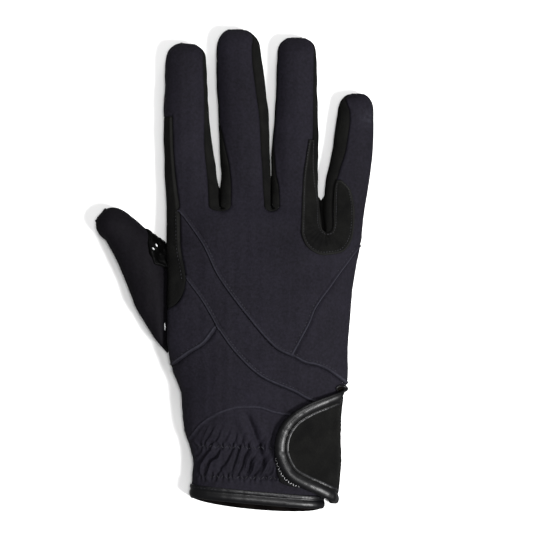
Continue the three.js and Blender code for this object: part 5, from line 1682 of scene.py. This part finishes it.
# Along the tab binding's flange, in the middle of its width
def tabStitchRun():
    inward = (tab["groove"] + tab["edgeWidth"] / 2 + tab["flange"]) / 2
    t = np.linspace(0.06, 0.94, 66)
    plan = tabBeside(t, inward + 0 * t)
    line = tabPoint(plan[:, 0], plan[:, 1], tabMid + tab["flangeThickness"] / 2 - 0.03 + 0 * t)
    raised = tabPoint(plan[:, 0], plan[:, 1], tabMid + 2.5 + 0 * t)
    return line, np.gradient(line, axis=0), raised - line


bindingStitches = stitches(
    "bindingStitches", [hemStitchRun(), tabStitchRun()], "binding",
    bindingStitch["length"], bindingStitch["radius"],
)
print("stitches ready")

# Floor, light and camera
studio = {"floor": "#f6f6f6", "lens": 170.0}
floorMaterial, _, floorShader = newMaterial("paleFloor")
floorShader.inputs["Base Color"].default_value = fromHex(studio["floor"])
floorShader.inputs["Roughness"].default_value = 0.9
floorShader.inputs["Specular IOR Level"].default_value = 0.0
floor = newObject(
    "floor", np.array([(-4, -4, -0.0002), (4, -4, -0.0002), (4, 4, -0.0002), (-4, 4, -0.0002)]),
    [[0, 1, 2, 3]], floorMaterial, False,
)
floor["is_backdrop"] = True
floor.visible_glossy = False  # black gloss keeps its dark edges, as over a dark table


def areaLight(name, place, target, size, power):
    data = bpy.data.lights.new(name, "AREA")
    data.shape = "RECTANGLE"
    data.size, data.size_y = size
    data.energy = power
    made = bpy.data.objects.new(name, data)
    bpy.context.scene.collection.objects.link(made)
    made.location = place
    made.rotation_euler = (Vector(target) - Vector(place)).to_track_quat("-Z", "Y").to_euler()
    return made


areaLight("keyLight", (0.7, -0.35, 0.95), (0, 0, 0), (0.3, 0.3), 25)
areaLight("topLight", (0.1, 0.05, 1.4), (0, 0, 0), (0.3, 0.3), 10)
areaLight("backLight", (0.1, 1.2, 0.9), (0, 0, 0), (1.0, 0.5), 9)
world = bpy.data.worlds.new("softRoom")
world.use_nodes = True
world.node_tree.nodes["Background"].inputs["Color"].default_value = (1, 1, 1, 1)
world.node_tree.nodes["Background"].inputs["Strength"].default_value = 0.22
bpy.context.scene.world = world

camera = bpy.data.objects.new("camera", bpy.data.cameras.new("camera"))
bpy.context.scene.collection.objects.link(camera)
camera.data.lens = studio["lens"]
camera.data.sensor_width = 36
# The glove's middle stands at step 234 across the photograph and 270.5 down. The distance is
# measured from 12 mm above the table
middle = photo["steps"] / 2
frameWidth = photo["steps"] * photo["step"] / 1000
distance = frameWidth * studio["lens"] / 36
away = (middle - 234) * photo["step"] / 1000, (270.5 - middle) * photo["step"] / 1000
camera.location = (*away, distance + 0.012)
camera.rotation_euler = (0, 0, 0)
bpy.context.scene.camera = camera
bpy.context.scene.view_settings.view_transform = "Standard"

corners = lambda pair: [[round(float(c), 5) for c in corner] for corner in pair]
{"cad": corners(cadBounds), "visual": corners(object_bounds())}
print("scene ready")
